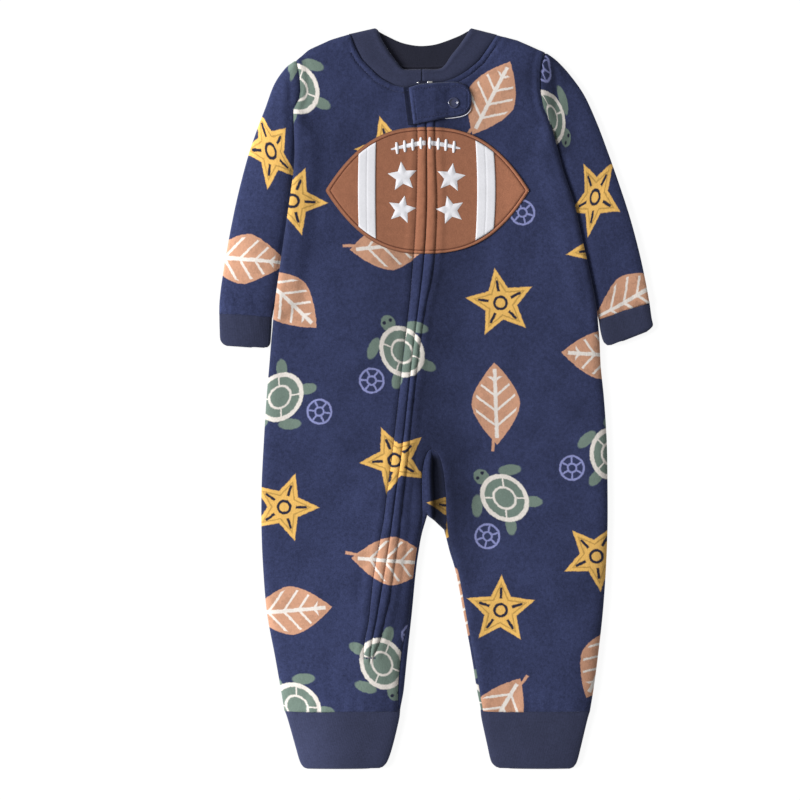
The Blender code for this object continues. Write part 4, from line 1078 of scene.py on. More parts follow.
def make_sleeve(word, rings, flank, armhole, shift, mats):
    """A sleeve as a flattened tube, from the armhole down to its cuff."""
    seam = inset_path(armhole, -flank.way * SEAM_GAP, 0)
    points = tube_points(rings, FLEECE, 9, flank, seam)
    add_sleeve_relief(points, flank, seam)
    points = tuck(points, (flank.way * SEAM_TUCK, 0), 3.5, 0.15)
    # painted light toward the right sleeve's outer fold and painted shade toward the body
    tone = tube_tone(points, 0.34, -0.1) + 0.08
    if word == "left":
        # the left sleeve has painted shade all across and a painted shadow of the body beside it
        beside_body = distance_to(LEFT_SLEEVE_SHADE, points[..., 0], points[..., 1])
        tone = tube_tone(points, -0.16, -0.06) - 0.38 * bell(beside_body, 10)
    obj = patch_object(points, tube_cloth(points, shift), tone, f"sleeve_{word}_cloth", mats, FLEECE,
                       flip=word == "left")
    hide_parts(f"sleeve_{word}")


def add_rib_relief(points, width):
    """A cuff is gathered where it is sewn on and rounded where it is folded."""
    x, y, _ = np.moveaxis(points, -1, 0)
    top = from_ring(points, 0)
    end = from_ring(points, -1)
    share = share_across(points)
    leaning = abs(x[0, 0]) > 150  # a wrist's ribs lean with its sleeve
    across_it = x + y * 0.3 if leaning else x
    pull = np.exp(-top / 12) * 0.35 * ripple(across_it, 0 * x, 7.5, 41) - 0.5 * bell(top, 1.2)
    puff = PUFF * width / 100 * 4 * share * (1 - share) - 1.1 * (1 - roll(end, 2.4))
    points[..., 2] += upper(points) * (pull + puff + 0.15 * ripple(x, y, 26, 42))


def round_corners(points, up, reach=3.4):
    """Draw the two corners of a cuff's folded end up along its sides."""
    aside = points[..., 0] * up[1] - points[..., 1] * up[0]
    along_it = points[..., 0] * up[0] + points[..., 1] * up[1]
    low, high = aside.min(axis=1, keepdims=True), aside.max(axis=1, keepdims=True)
    inside = np.minimum(aside - low, high - aside)
    corner = np.clip(reach - inside, 0, reach)
    drop = reach - np.sqrt(reach * reach - corner * corner)
    from_end = (along_it - along_it[-1].min()).min(axis=1, keepdims=True)
    points[..., :2] += up * (drop * np.exp(-from_end / 5))[..., None]


def make_cuff(cuff, mats):
    """A folded rib cuff as a flattened tube, from its seam down to its fold."""
    first = cuff.rings[0]
    points = tube_points(cuff.rings, KNIT, 10)
    add_rib_relief(points, abs(first.outer_x - first.inner_x))
    up = points[0].mean(axis=0) - points[8].mean(axis=0)
    up = up[:2] / np.linalg.norm(up[:2])
    round_corners(points, up)
    points = tuck(points, up * 2.6, 3.2, 0.5)
    # painted light and shade across the cuff
    tone = tube_tone(points, cuff.tone_right, cuff.tone_left)
    obj = patch_object(points, tube_cloth(points), tone, cuff.node + "_rib", mats, KNIT,
                       flip=first.outer_x > 0)
    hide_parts(cuff.node)


def neckband_rows():
    """Places of the band's seam and of its free edge along it, and the band's level there."""
    per_row = 8
    rows = [between(NECKBAND, i / per_row) for i in range((len(NECKBAND) - 1) * per_row + 1)]
    seam = np.array([(row.seam_x, row.seam_y) for row in rows])
    free = np.array([(row.free_x, row.free_y) for row in rows])
    return seam, free, column(rows, "z")[:, None]


def make_neckband(mats):
    """One folded rib strip from the zip round the neck and back, split at the front."""
    seam, free, level = neckband_rows()
    t = np.array([-0.1, -0.05, *upto((0.16, 5), (0.84, 10), (1, 6))])
    under = np.maximum(ease(3.6, 5.0, level), 1 - ease(0.95, 1.2, level))
    spread = np.where(t < 0, t * under, t)
    plan = seam[:, None, :] + (free - seam)[:, None, :] * spread[..., None]
    inside = np.clip(t, 0, 1)
    dome = 1.5 * (1 - (2 * inside - 1) ** 4) - 1.3 + 0.8 * ease(0.7, 0.9, t) * (1 - ease(0.93, 1.0, t))
    tucked = ease(0.0, -0.05, t)
    on_front = ease(3.2, 5.6, level)
    z = level + (dome - 1.3 * tucked) * on_front + 0.15 * ripple(plan[..., 0], plan[..., 1], 22, 51)
    z = np.maximum(z + tucked * (1 - on_front), KNIT / 2)
    run = run_of(plan[:, len(t) // 2])[:, None]
    cloth = stack(run + 0 * t, NECKBAND_DEPTH * t + 0 * run)
    points = raised(plan, z)
    obj = patch_object(points, cloth, None, "neckband_rib", mats, KNIT)
    obj.modifiers["wall"].material_offset = 0
    for face in obj.data.polygons:
        face.material_index = int(face.center.z < BAND_SPLIT_Z * MM)
    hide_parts("neckband")


# ------------------------------------------------------------------ zip
def tape_height(y):
    """The tape lies against the underside of the lips, and lower under the neckband."""
    lips = FRONT_Z + 1.2 * ease(ZIP_END_Y - 8, ZIP_END_Y + 3, y) - FLEECE / 2
    band = NECKBAND[0].z - KNIT / 2
    above = lips + (band - lips) * ease(TAPE_DIP_Y - 12, TAPE_DIP_Y, y)
    return above - SEAM_GAP - TAPE_THICK / 2


def make_tape(mat):
    """The zip's tape, from below the slit up to its end under the neckband."""
    y = np.concatenate([np.linspace(ZIP_END_Y - 4, TAPE_DIP_Y - 12, 150),
                        np.linspace(TAPE_DIP_Y - 10, TAPE_END_Y, 16)])
    aside = np.linspace(-TAPE_HALF, TAPE_HALF, 9)[None, :]
    x = zip_x(y)[:, None] + aside
    y = level_rows(x, y)
    points = stack(x, y, tape_height(y))
    obj = patch_object(points, stack(aside + 0 * y, y), None, "tape_cloth", [mat], TAPE_THICK)
    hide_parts("zip_tape")


def beads_object(name, mat, places):
    """Small round-ended beads, one at each matrix of a list; a bead is 1 across before it."""
    bm = bmesh.new()
    bmesh.ops.create_uvsphere(bm, u_segments=6, v_segments=4, radius=0.5)
    count = 1
    while count < len(places):
        copy = bmesh.ops.duplicate(bm, geom=bm.verts[:] + bm.edges[:] + bm.faces[:])["geom"]
        verts = [part for part in copy if isinstance(part, bmesh.types.BMVert)]
        bmesh.ops.translate(bm, vec=(2 * count, 0, 0), verts=verts)
        count *= 2
    extra = [vert for vert in bm.verts if round(vert.co.x / 2) >= len(places)]
    bmesh.ops.delete(bm, geom=extra, context="VERTS")
    for vert in bm.verts:
        number = round(vert.co.x / 2)
        vert.co = places[number] @ (vert.co - Vector((2 * number, 0, 0)))
    new_object(bm, name, [mat])


def make_coil(mat):
    """Coil of the closed zip: links from each side in turn."""
    places = []
    for y in ZIP_END_Y + COIL_PITCH * np.arange(int((COIL_END_Y - ZIP_END_Y) / COIL_PITCH)):
        x = float(zip_x(y))
        turn = Matrix.Rotation(math.atan2(x - float(zip_x(y + 1)), 1.0), 4, "Z")
        z = float(tape_height(y)) + TAPE_THICK / 2 + 0.2
        for side in (-1, 1):
            spot = Matrix.Translation((x, y + side * COIL_PITCH / 4, z))
            shape = Matrix.Translation((side * 0.9, 0, 0)) @ Matrix.Diagonal((2.1, 0.75, 0.75, 1))
            places.append(spot @ turn @ shape)
    beads_object("zip_coil", mat, places)


def rounded_plate(bm, size, center, bevel):
    """A small plate with rounded edges."""
    verts = bmesh.ops.create_cube(bm, size=1.0)["verts"]
    bmesh.ops.scale(bm, vec=size, verts=verts)
    edges = list({edge for vert in verts for edge in vert.link_edges})
    out = bmesh.ops.bevel(bm, geom=edges, offset=bevel, segments=3, profile=0.5, affect="EDGES",
                          material=-1)
    whole = {vert for face in out["faces"] for vert in face.verts} | {v for v in verts if v.is_valid}
    bmesh.ops.translate(bm, vec=center, verts=list(whole))


def make_slider(dark, bright):
    """Painted slider body with its shoulders, and the bare bridge and lug that hold the pull."""
    x = float(zip_x(SLIDER_Y)) + 1.4
    bm = bmesh.new()
    rounded_plate(bm, (8.0, 10.0, 1.3), (x, SLIDER_Y - 0.6, SLIDER_Z), 0.45)
    for side in (-1, 1):
        rounded_plate(bm, (3.0, 5.2, 1.4), (x + side * 3.8, SLIDER_Y + 1.8, SLIDER_Z), 0.5)
    body = new_object(bm, "slider_body", [dark])
    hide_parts("zip_slider")
    bm = bmesh.new()
    rounded_plate(bm, (4.6, 2.2, 1.0), (x + 5.6, SLIDER_Y + 2.9, SLIDER_Z + 0.5), 0.4)
    rounded_plate(bm, (1.8, 1.4, 0.9), (x - 5.4, SLIDER_Y + 2.6, SLIDER_Z + 0.5), 0.35)
    bridge = new_object(bm, "slider_bridge", [bright])


# ------------------------------------------------------------------ guard and snap
def guard_height(x):
    """The guard arches over the slider and its pull."""
    return GUARD_LOW_Z + (GUARD_HIGH_Z - GUARD_LOW_Z) * ease(-28, -19, x) * (1 - ease(-3, 15, x))


def guard_points(inset, thick, back):
    """A layer of the guard: from its fold, set back a little, across to its round end."""
    sections = [between(GUARD, number) for number in np.linspace(0, len(GUARD) - 1, 90)]
    x, low, high = (column(sections, name) for name in ("x", "low_y", "high_y"))
    x = x[0] + inset + (x - x[0]) * (x[-1] - x[0] - 2 * inset) / (x[-1] - x[0])
    half = np.maximum((high - low) / 2 - inset, 0.4)[:, None]
    share = np.array(upto((0.24, 7), (1.76, 30), (2, 7))) - 1
    grid_x = x[:, None] + 0 * share
    grid_y = ((low + high) / 2)[:, None] + half * share
    edge = np.minimum(half * (1 - np.abs(share)), (x[-1] - x)[:, None] * 1.2)
    edge = np.minimum(edge, (x - x[0])[:, None])
    grid_x = (grid_x + (272 - grid_y) * 0.13 * (1 - ease(-22, 4, grid_x))
              - 1.0 * (1 - ease(-24, 0, grid_x)))
    grid_x = grid_x + back * (1 - ease(-27, 6, grid_x))
    z = guard_height(grid_x) + thick * (roll(edge, 2.6) - 1)
    z = z - 0.45 * bell(edge - 3.4, 0.8) + 0.3 * ripple(grid_x, grid_y, 15, 61) * ease(1, 7, edge)
    return stack(grid_x, grid_y, z)


def make_guard(mats):
    """Two layers sewn together, the under layer peeping out at the fold and below."""
    points = guard_points(0.6, 1.1, 4.6)
    points[..., 2] += 0.75
    fold = points[..., 0] - points[:1, :, 0]
    cloth = flat_cloth(points[..., 0], points[..., 1], GUARD_TURN, GUARD_SHIFT)
    # painted highlight along the top layer's fold
    top = patch_object(points, cloth, 0.35 * bell(fold - 0.9, 1.1) - 0.06, "guard_cloth", mats, 1.3,
                       weld=0.005)
    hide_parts("zip_guard")
    points = guard_points(0.0, 0.5, 0.0)
    points[..., 2] -= 0.65
    # painted shade on the under layer, darkest where it peeps out at the fold
    tone = -0.6 * (1 - ease(-20, 4, points[..., 0])) - 0.1
    under = patch_object(points, points[..., :2], tone, "guard_underlayer", mats, 1.0, weld=0.005)


def make_guard_edge(mat):
    """Pale edge of the guard's facing, showing under its lower right corner."""
    path = rounded(GUARD_EDGE)
    bm = bmesh.new()
    satin_band(bm, path, 0.9 * taper(len(path), 0.1, 0.6), 0.5, lambda x, y: front_top(x, y) + 0.9)
    new_object(bm, "guard_facing_edge", [mat])


def make_snap(mat):
    """Ring snap: a rounded rim round a shallow dish, turned about its own axis."""
    bm = bmesh.new()
    verts = [bm.verts.new((radius, 0, z)) for radius, z in SNAP_PROFILE]
    edges = [bm.edges.new(pair) for pair in zip(verts, verts[1:])]
    bmesh.ops.spin(bm, geom=verts + edges, cent=(0, 0, 0), axis=(0, 0, 1), angle=2 * math.pi, steps=40,
                   use_merge=True, use_duplicate=False)
    bmesh.ops.remove_doubles(bm, verts=bm.verts, dist=0.001)
    bmesh.ops.recalc_face_normals(bm, faces=bm.faces)
    base = float(guard_height(SNAP_X)) + SNAP_RISE
    bmesh.ops.translate(bm, vec=(SNAP_X, SNAP_Y, base), verts=bm.verts)
    obj = new_object(bm, "snap_button", [mat])
    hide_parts("guard_snap")


# ------------------------------------------------------------------ chest patch
def patch_half_height(x):
    """Half the patch's height at a place along it."""
    t = np.minimum(np.abs(x - PATCH_X) / PATCH_HALF_LENGTH, 1.0)
    return np.maximum(PATCH_HALF_HEIGHT * (1 - t ** PATCH_POINT), 0.9)


def patch_slope(t):
    """How steeply the patch's edge runs at a share of its half length."""
    return PATCH_HALF_HEIGHT / PATCH_HALF_LENGTH * PATCH_POINT * t ** (PATCH_POINT - 1)


def patch_line(inset, side, up):
    """A line inside one quarter of the patch's edge, from its tip to the zip."""
    t = np.linspace(0.999, 0.0, 90)
    slope = patch_slope(t)
    square = np.sqrt(1 + slope * slope)
    x = PATCH_HALF_LENGTH * t - inset * slope / square
    y = PATCH_HALF_HEIGHT * (1 - t ** PATCH_POINT) - inset / square
    keep = (y > 0) & (x > 1.8)
    return stack(PATCH_X + side * x[keep], PATCH_Y + up * y[keep])


def patch_edge(x, y):
    """About how far a place lies inside the patch's edge."""
    up = patch_half_height(x) - np.abs(y - PATCH_Y)
    slope = patch_slope(np.minimum(np.abs(x - PATCH_X) / PATCH_HALF_LENGTH, 1.0))
    return up / np.sqrt(1 + slope * slope)


def patch_height(x, y):
    """Middle of the patch's wall: on the front, rounded at its edge, pulled in at its stitches."""
    on_front = front_form(x, y) + zip_relief(x, y) + 0.55
    edge = patch_edge(x, y)
    shape = -0.7 * (1 - roll(edge, 1.6)) - 0.55 * bell(edge - PATCH_BORDER, 0.8)
    shape = shape + 0.16 * ripple(x, y, 26, 71) * ease(2, 8, edge)
    return on_front + FLEECE / 2 + SEAM_GAP + 0.2 + PATCH_THICK / 2 + shape


def patch_top(x, y):
    """The patch's upper face, on which its embroidery lies."""
    return patch_height(x, y) + PATCH_THICK / 2


def patch_tone(x, y):
    """Painted light and shade on the patch: a painted highlight on the rim outside the border's stitches
    and on the lips, lighter ends, painted shade at the edges, in the stitches' groove and at the slit.
    """
    edge = patch_edge(x, y)
    aside, off, seam = beside_zip(x, y)
    rim = 0.2 * bell(edge - 1.7, 1.2) - 0.5 * bell(edge - PATCH_BORDER, 0.7) - 0.45 * bell(edge, 0.8)
    ends = 0.12 * ease(55, 80, -aside) + 0.24 * ease(50, 78, aside)
    lips = 0.22 * bell(off - seam * 0.5, seam * 0.4) - 0.4 * bell(off - seam - 0.3, 0.9)
    return rim + ends + lips - 0.5 * bell(off, 0.9) - 0.05


def make_patch_half(word, side, mat):
    """One half of the chest patch: side -1 is the wearer's right, 1 the left."""
    steps = np.array(upto((3, 5), (12, 8), (75.5, 36)))
    lip = np.array(LIP_STEPS[::-1]) + SLIT_HALF
    edge = np.array(upto((0.03, 3), (0.12, 7), (1.88, 52), (1.97, 7), (2, 3))) - 1
    x = PATCH_X + side * np.concatenate([PATCH_HALF_LENGTH - steps, lip])[::-side]
    x = np.broadcast_to(x, (len(edge), len(x)))
    y = PATCH_Y + edge[:, None] * patch_half_height(x)
    x = x + (zip_x(y) - PATCH_X) * (1 - ease(17, 60, np.abs(x - PATCH_X)))
    points = stack(x, y, patch_height(x, y))
    obj = patch_object(points, points[..., :2], patch_tone(x, y), f"patch_{word}", [mat], PATCH_THICK)
    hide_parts(f"chest_patch_{word}")


def taper(count, start, power):
    """Shares of a band's width along it: full in the middle and narrow at both ends."""
    return np.sin(np.linspace(start, math.pi - start, count)) ** power


def satin_band(bm, path, widths, rise, height):
    """A domed band of satin stitches along a path; height gives the cloth it lies on."""
    run = run_of(path)[:, None]
    t = np.linspace(-1, 1, 7)
    half = widths[:, None] / 2
    plan = path[:, None, :] + beside(path)[:, None, :] * (half * t)[..., None]
    dome = rise * np.sqrt(1 - t ** 2) * np.clip(half / half.max(), 0.3, 1)
    z = height(plan[..., 0], plan[..., 1]) + dome + 0.05
    add_patch(bm, raised(plan, z), stack(half * t, run + 0 * t))


def make_stripe(stripe, mat):
    """A white stripe: two satin columns side by side."""
    bm = bmesh.new()
    share = np.linspace(-1, 1, 60)[:, None]
    t = np.linspace(-1, 1, 13)
    middle = (stripe.start + stripe.end) / 2
    for start, end in ((stripe.start, middle), (middle, stripe.end)):
        x = np.linspace(start, end, 13) + 0 * share
        y = PATCH_Y + share * (patch_half_height(x) - PATCH_BORDER - 0.9)
        x = x + stripe.bow * (1 - share ** 2)
        z = patch_top(x, y) + 0.35 + 0.3 * np.sqrt(1 - t ** 4)
        add_patch(bm, stack(x, y, z), stack(x, y))
    obj = cloth_object(bm, f"stripe_{stripe.word}", [mat], STRIPE_THICK, weld=0.001)
    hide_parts(f"patch_stripe_{stripe.word}")


def make_lacing(mat):
    """White lacing: one long curved column of satin stitch crossed by short ones."""
    bm = bmesh.new()
    arc = rounded(LACE, 60)
    widths = LACE_WIDTH * taper(60, 0.08, 0.5)
    from_zip = arc[:, 0] - zip_x(arc[:, 1])
    for half in (from_zip < -0.7, from_zip > 0.7):
        satin_band(bm, arc[half], widths[half], 0.75, patch_top)
    for x in LACE_TICKS:
        y = float(np.interp(x, arc[:, 0], arc[:, 1]))
        lean = 0.03 * (x - PATCH_X) / 10
        tick = np.array([(x - lean * TICK_HALF, y - TICK_HALF), (x + lean * TICK_HALF, y + TICK_HALF)])
        widths = TICK_WIDTH * taper(12, 0.25, 0.4)
        satin_band(bm, along(tick, np.linspace(0, 1, 12)), widths, 1.15, patch_top)
    new_object(bm, "lacing_embroidery", [mat])


def make_stars(mat):
    """White stars in raised satin stitch: ten facets round a raised middle."""
    bm = bmesh.new()
    for star in PATCH_STARS:
        angles = np.radians(90 + star.turn + 36 * np.arange(11))
        reach = np.where(np.arange(11) % 2 == 0, star.radius, star.radius * STAR_WAIST)
        points = stack(star.x + reach * np.cos(angles), star.y + reach * np.sin(angles))
        for a, b in zip(points, points[1:]):
            add_facet(bm, np.array((star.x, star.y)), a, b)
    new_object(bm, "star_embroidery", [mat])


def add_facet(bm, middle, a, b):
    """A triangular facet of satin stitch, domed between its middle and its outer edge."""
    t = np.linspace(0, 1, 7)[:, None, None]
    s = np.linspace(0, 1, 7)[None, :, None]
    plan = middle * (1 - t) + (a * (1 - s) + b * s) * t
    z = patch_top(plan[..., 0], plan[..., 1]) + 0.15 + 0.85 * (1 - t[..., 0] ** 3)
    add_patch(bm, raised(plan, z), plan)


# ------------------------------------------------------------------ sewing thread
def stitches(path, height, pitch=STITCH_PITCH, length=2.2, radius=0.32):
    """Places of separate stitches along a path, lying in the cloth."""
    points = np.array(path, float)
    run = run_of(points)
    at = np.arange(pitch / 2, run[-1], pitch)
    x, y = (np.interp(at, run, points[:, k]) for k in (0, 1))
    ahead = [np.interp(at + 0.5, run, points[:, k]) - np.interp(at - 0.5, run, points[:, k])
             for k in (0, 1)]
    z = height(x, y) + radius * 0.4
    shape = Matrix.Diagonal((length, radius * 2, radius * 2, 1))
    return [Matrix.Translation(place) @ Matrix.Rotation(math.atan2(on_y, on_x), 4, "Z") @ shape
            for *place, on_x, on_y in zip(x, y, z, *ahead)]


def front_top(x, y):
    """The front's upper face."""
    return front_height(x, y) + FLEECE / 2


def zip_seams():
    """Paths of the topstitching on both sides of the zip."""
    y = np.linspace(ZIP_END_Y, ZIP_STITCHES_END_Y, 160)
    return stack(zip_x(y) - stitch_right(y), y), stack(zip_x(y) + stitch_left(y), y)


def neck_seam(path):
    """The neck's topstitching, a little way outside the band's seam."""
    points = rounded(path, 80)
    return points + beside(points) * NECK_STITCHES


def make_navy_stitches(mat):
    """Tone-on-tone topstitching beside the zip and round the neck, and the bartack at its end."""
    places = []
    for path in zip_seams():
        below = (patch_edge(path[:, 0], path[:, 1]) < 0) & (path[:, 1] < PATCH_Y)
        places += stitches(path[below], front_top)
    places += stitches(neck_seam(RIGHT_NECK)[:-18], front_top)
    places += stitches(neck_seam(LEFT_NECK)[26:], front_top)
    end_x = float(zip_x(ZIP_END_Y))
    for y in (ZIP_END_Y - 1, ZIP_END_Y - 1.9):
        bar = ((end_x - 6.4, y), (end_x + 4.4, y))
        places += stitches(bar, front_top, pitch=1.6, length=1.7, radius=0.4)
    beads_object("navy_topstitching", mat, places)


def make_guard_stitches(mat):
    """Stitching just inside the guard's edge."""
    sections = [between(GUARD, number) for number in np.linspace(1.8, len(GUARD) - 1.35, 40)]
    low = [(row.x + 0.2, row.low_y + GUARD_STITCHES) for row in sections]
    high = [(row.x + 0.2, row.high_y - GUARD_STITCHES) for row in sections]
    places = stitches(low + high[::-1], lambda x, y: guard_height(x) + 1.15, 2.6, 1.9, 0.28)
    beads_object("guard_stitching", mat, places)


def make_brown_stitches(mat):
    """The patch's border line of dense stitches, and its topstitching beside the zip."""
    places = []
    for side, up in ((-1, 1), (-1, -1), (1, 1), (1, -1)):
        places += stitches(patch_line(PATCH_BORDER, side, up), patch_top, 1.15, 1.35, 0.42)
    for path in zip_seams():
        on_patch = patch_edge(path[:, 0], path[:, 1]) > 0.8
        places += stitches(path[on_patch], patch_top, 2.8, 2.0, 0.34)
    beads_object("patch_stitching", mat, places)


# ------------------------------------------------------------------ shader building
def maths(operation, first=True):
    """A method that adds a Math node, in which the number itself comes first or last."""
    return lambda number, *others: number.math(operation, *others, first=first)


class Number:
    """A number in a material that takes part in Python arithmetic."""

    def __init__(self, look, socket):
        self.look = look
        self.socket = socket

    def math(self, operation, *others, first=True, clamp=False):
        values = (self, *others) if first else (*others, self)
        node = self.look.node("ShaderNodeMath", {"operation": operation, "use_clamp": clamp},
                              dict(enumerate(values)))
        return Number(self.look, node.outputs[0])

    __add__ = __radd__ = maths("ADD")
    __sub__ = maths("SUBTRACT")
    __rsub__ = maths("SUBTRACT", first=False)
    __mul__ = __rmul__ = maths("MULTIPLY")
    __truediv__ = maths("DIVIDE")
    __rtruediv__ = maths("DIVIDE", first=False)
    __pow__ = maths("POWER")
    __rpow__ = maths("POWER", first=False)
    __abs__ = maths("ABSOLUTE")
    floor = maths("FLOOR")
    fraction = maths("FRACT")
    low = maths("MINIMUM")
    high = maths("MAXIMUM")
    cosine = maths("COSINE")
    sine = maths("SINE")

    def __neg__(self):
        """The same number with its other sign."""
        return self * -1.0

    def edge(self, softness):
        """0 to 1 across a border where the number passes 0."""
        return (self / softness + 0.5).math("ADD", 0.0, clamp=True)


def length_of(x, y):
    """Distance of a place from the middle of its frame."""
    return (x * x + y * y) ** 0.5


class Look:
    """A material being built round its Principled shader."""

    def __init__(self, name):
        self.material = bpy.data.materials.new(name)
        self.material.use_nodes = True
        self.nodes = self.material.node_tree.nodes
        self.links = self.material.node_tree.links
        self.shader = self.nodes["Principled BSDF"]

    def node(self, kind, settings=None, sockets=None):
        """A node with its settings and the values or links of its sockets."""
        node = self.nodes.new(kind)
        for name, value in (settings or {}).items():
            setattr(node, name, value)
        self.feed(node, sockets or {})
        return node

    def feed(self, node, sockets):
        """Set a node's sockets to values, or link them to numbers and other sockets."""
        for key, value in sockets.items():
            socket = node.inputs[key]
            if isinstance(value, Number):
                value = value.socket
            if isinstance(value, bpy.types.NodeSocket):
                self.links.new(value, socket)
            elif hasattr(socket.default_value, "__len__") and len(socket.default_value) == 4:
                socket.default_value = (*value[:3], 1.0)
            else:
                socket.default_value = value

    def cloth(self):
        """The cloth's own two lengths, in millimetres."""
        uv = self.node("ShaderNodeUVMap", {"uv_map": "cloth"})
        parts = self.node("ShaderNodeSeparateXYZ", sockets={0: uv.outputs[0]})
        return Number(self, parts.outputs[0]) * 1000.0, Number(self, parts.outputs[1]) * 1000.0

    def noise(self, size, detail=2.0, roughness=0.5):
        """Uneven values about 0.5 with spots of a size in millimetres."""
        place = self.node("ShaderNodeTexCoord").outputs["Object"]
        node = self.node("ShaderNodeTexNoise", sockets={
            "Vector": place, "Scale": 1000.0 / size, "Detail": detail, "Roughness": roughness})
        return Number(self, node.outputs[0])

    def mix(self, share, first, second):
        """A colour between two, or the second over the first where share is 1."""
        node = self.node("ShaderNodeMix", {"data_type": "RGBA"}, {0: share, 6: first, 7: second})
        return node.outputs[2]

    def shade(self, color, factor):
        """A colour made lighter or darker by a number."""
        grey = self.node("ShaderNodeCombineXYZ", sockets={0: factor, 1: factor, 2: factor})
        node = self.node("ShaderNodeMix", {"data_type": "RGBA", "blend_type": "MULTIPLY"},
                         {0: 1.0, 6: color, 7: grey.outputs[0]})
        return node.outputs[2]

    def bump(self, height, depth, strength=1.0):
        """A normal from a height between 0 and 1, its full depth in millimetres."""
        node = self.node("ShaderNodeBump", sockets={
            "Strength": strength, "Distance": depth * MM, "Height": height})
        return node.outputs[0]

    def finish(self, **sockets):
        """Feed the shader's sockets, each named in small letters, and give the material."""
        names = {key.replace("_", " ").title().replace("Ior", "IOR"): sockets[key] for key in sockets}
        self.feed(self.shader, names)
        return self.material


# ------------------------------------------------------------------ settings
def color_setting(name, description, value):
    """A colour in linear numbers."""
    return FloatVectorProperty(name=name, description=description, subtype="COLOR", size=3,
                               min=0.0, max=1.0, default=value)


def size_setting(name, description, value, low, high):
    """A length in metres between two limits."""
    return FloatProperty(name=name, description=description, default=value, min=low, max=high,
                         unit="LENGTH")


def light_setting(name, description, value):
    """The strength of a light."""
    return FloatProperty(name=name, description=description, default=value, min=0.0, max=20.0)


class OnesieCloth(bpy.types.PropertyGroup):
    """Looks of fleece and rib"""

    ground: color_setting("Fleece", "Ground colour of the fleece", (0.0308, 0.0388, 0.0955))
    # painted shade: the unprinted inside is set as dark as the shade inside the neck, where it shows
    inside: color_setting("Inside", "Colour of the fleece's unprinted inside", (0.020, 0.020, 0.033))
    knit: color_setting("Rib", "Colour of cuffs and neckband", (0.0300, 0.0350, 0.0735))
    shaded: color_setting("Rib in shade", "Colour of the rib at the back of the neck",
                          (0.0155, 0.0165, 0.0305))
    nap: size_setting("Nap", "Depth of the fleece's nap", 0.0007, 0.0, 0.003)
    rib: size_setting("Rib pitch", "Distance between two ribs", 0.0016, 0.0005, 0.005)


class OnesiePrint(bpy.types.PropertyGroup):
    """The print's repeat and colours"""

    pitch_x: size_setting("Repeat across", "Width of the print's cells", 0.096, 0.03, 0.4)
    pitch_y: size_setting("Repeat along", "Height of the print's cells", 0.096, 0.03, 0.4)
    leaf: color_setting("Leaf", "Colour of the leaves", (0.55, 0.295, 0.190))
    cream: color_setting("Cream", "Colour of veins and shell rims", (0.74, 0.69, 0.64))
    turtle: color_setting("Turtle", "Colour of the turtles", (0.155, 0.210, 0.178))
    star: color_setting("Star", "Colour of the stars", (0.78, 0.465, 0.125))
    ink: color_setting("Ink", "Dark lines drawn on the stars", (0.020, 0.022, 0.045))
    line: color_setting("Line", "Thin pale line drawings", (0.25, 0.27, 0.52))


class OnesiePatch(bpy.types.PropertyGroup):
    """Looks of the chest patch"""

    felt: color_setting("Felt", "Colour of the chest patch", (0.315, 0.130, 0.074))
    thread: color_setting("Border thread", "Thread of the patch's border", (0.13, 0.035, 0.018))
    white: color_setting("White thread", "Thread of stripes, lacing and stars", (0.80, 0.80, 0.84))


class OnesieStage(bpy.types.PropertyGroup):
    """Floor, light and camera"""

    floor: color_setting("Floor", "Colour of the floor", (0.13, 0.13, 0.13))
    glow: light_setting("Floor glow", "Light that comes up from the floor", 0.9)
    key: light_setting("Key light", "Strength of the light from the left", 3.9)
    sky: light_setting("Surround", "Strength of the even light all round", 0.36)
    view: size_setting("View", "Width of floor that the camera sees", 0.744, 0.1, 3.0)


# ------------------------------------------------------------------ materials
NAVY_THREAD = (0.05, 0.057, 0.13)
PALE_FACING = (0.72, 0.72, 0.80)
COIL_NYLON = (0.02, 0.022, 0.05)
BARE_METAL = (0.8, 0.79, 0.76)
PAINTED_METAL = (0.05, 0.055, 0.10)
TAPE_COLOR = (0.018, 0.020, 0.044)
SNAP_COLOR = (0.030, 0.037, 0.095)


def rotate(x, y, degrees):
    """Coordinates in a frame turned by an angle."""
    c = math.cos(math.radians(degrees))
    s = math.sin(math.radians(degrees))
    return x * c + y * s, y * c - x * s


def ellipse(x, y, half_x, half_y):
    """About how far a place lies inside an ellipse."""
    return (1.0 - length_of(x / half_x, y / half_y)) * min(half_x, half_y)


def cell_of(look, u, v, pitch_x, pitch_y):
    """Place of a point in its cell of a half-drop repeat, with the cell's turn and its kind."""
    across_it = u / pitch_x
    col = across_it.floor()
    odd = col - (col / 2.0).floor() * 2.0
    up = v / pitch_y + odd * 0.5
    row = up.floor()
    seed = look.node("ShaderNodeCombineXYZ", sockets={0: col, 1: row, 2: 3.7})
    chance = look.node("ShaderNodeTexWhiteNoise", {"noise_dimensions": "3D"},
                       {"Vector": seed.outputs[0]})
    parts = look.node("ShaderNodeSeparateColor", sockets={0: chance.outputs["Color"]})
    shifts = [Number(look, parts.outputs[k]) - 0.5 for k in range(3)]
    x = (across_it - col - 0.5) * pitch_x + shifts[0] * 9.0
    y = (up - row - 0.5) * pitch_y + shifts[1] * 9.0
    c = (shifts[2] * 2 * math.pi).cosine()
    s = (shifts[2] * 2 * math.pi).sine()
    kind = col + row * 2.0
    kind = kind - (kind / 3.0).floor() * 3.0
    return x * c + y * s, y * c - x * s, kind


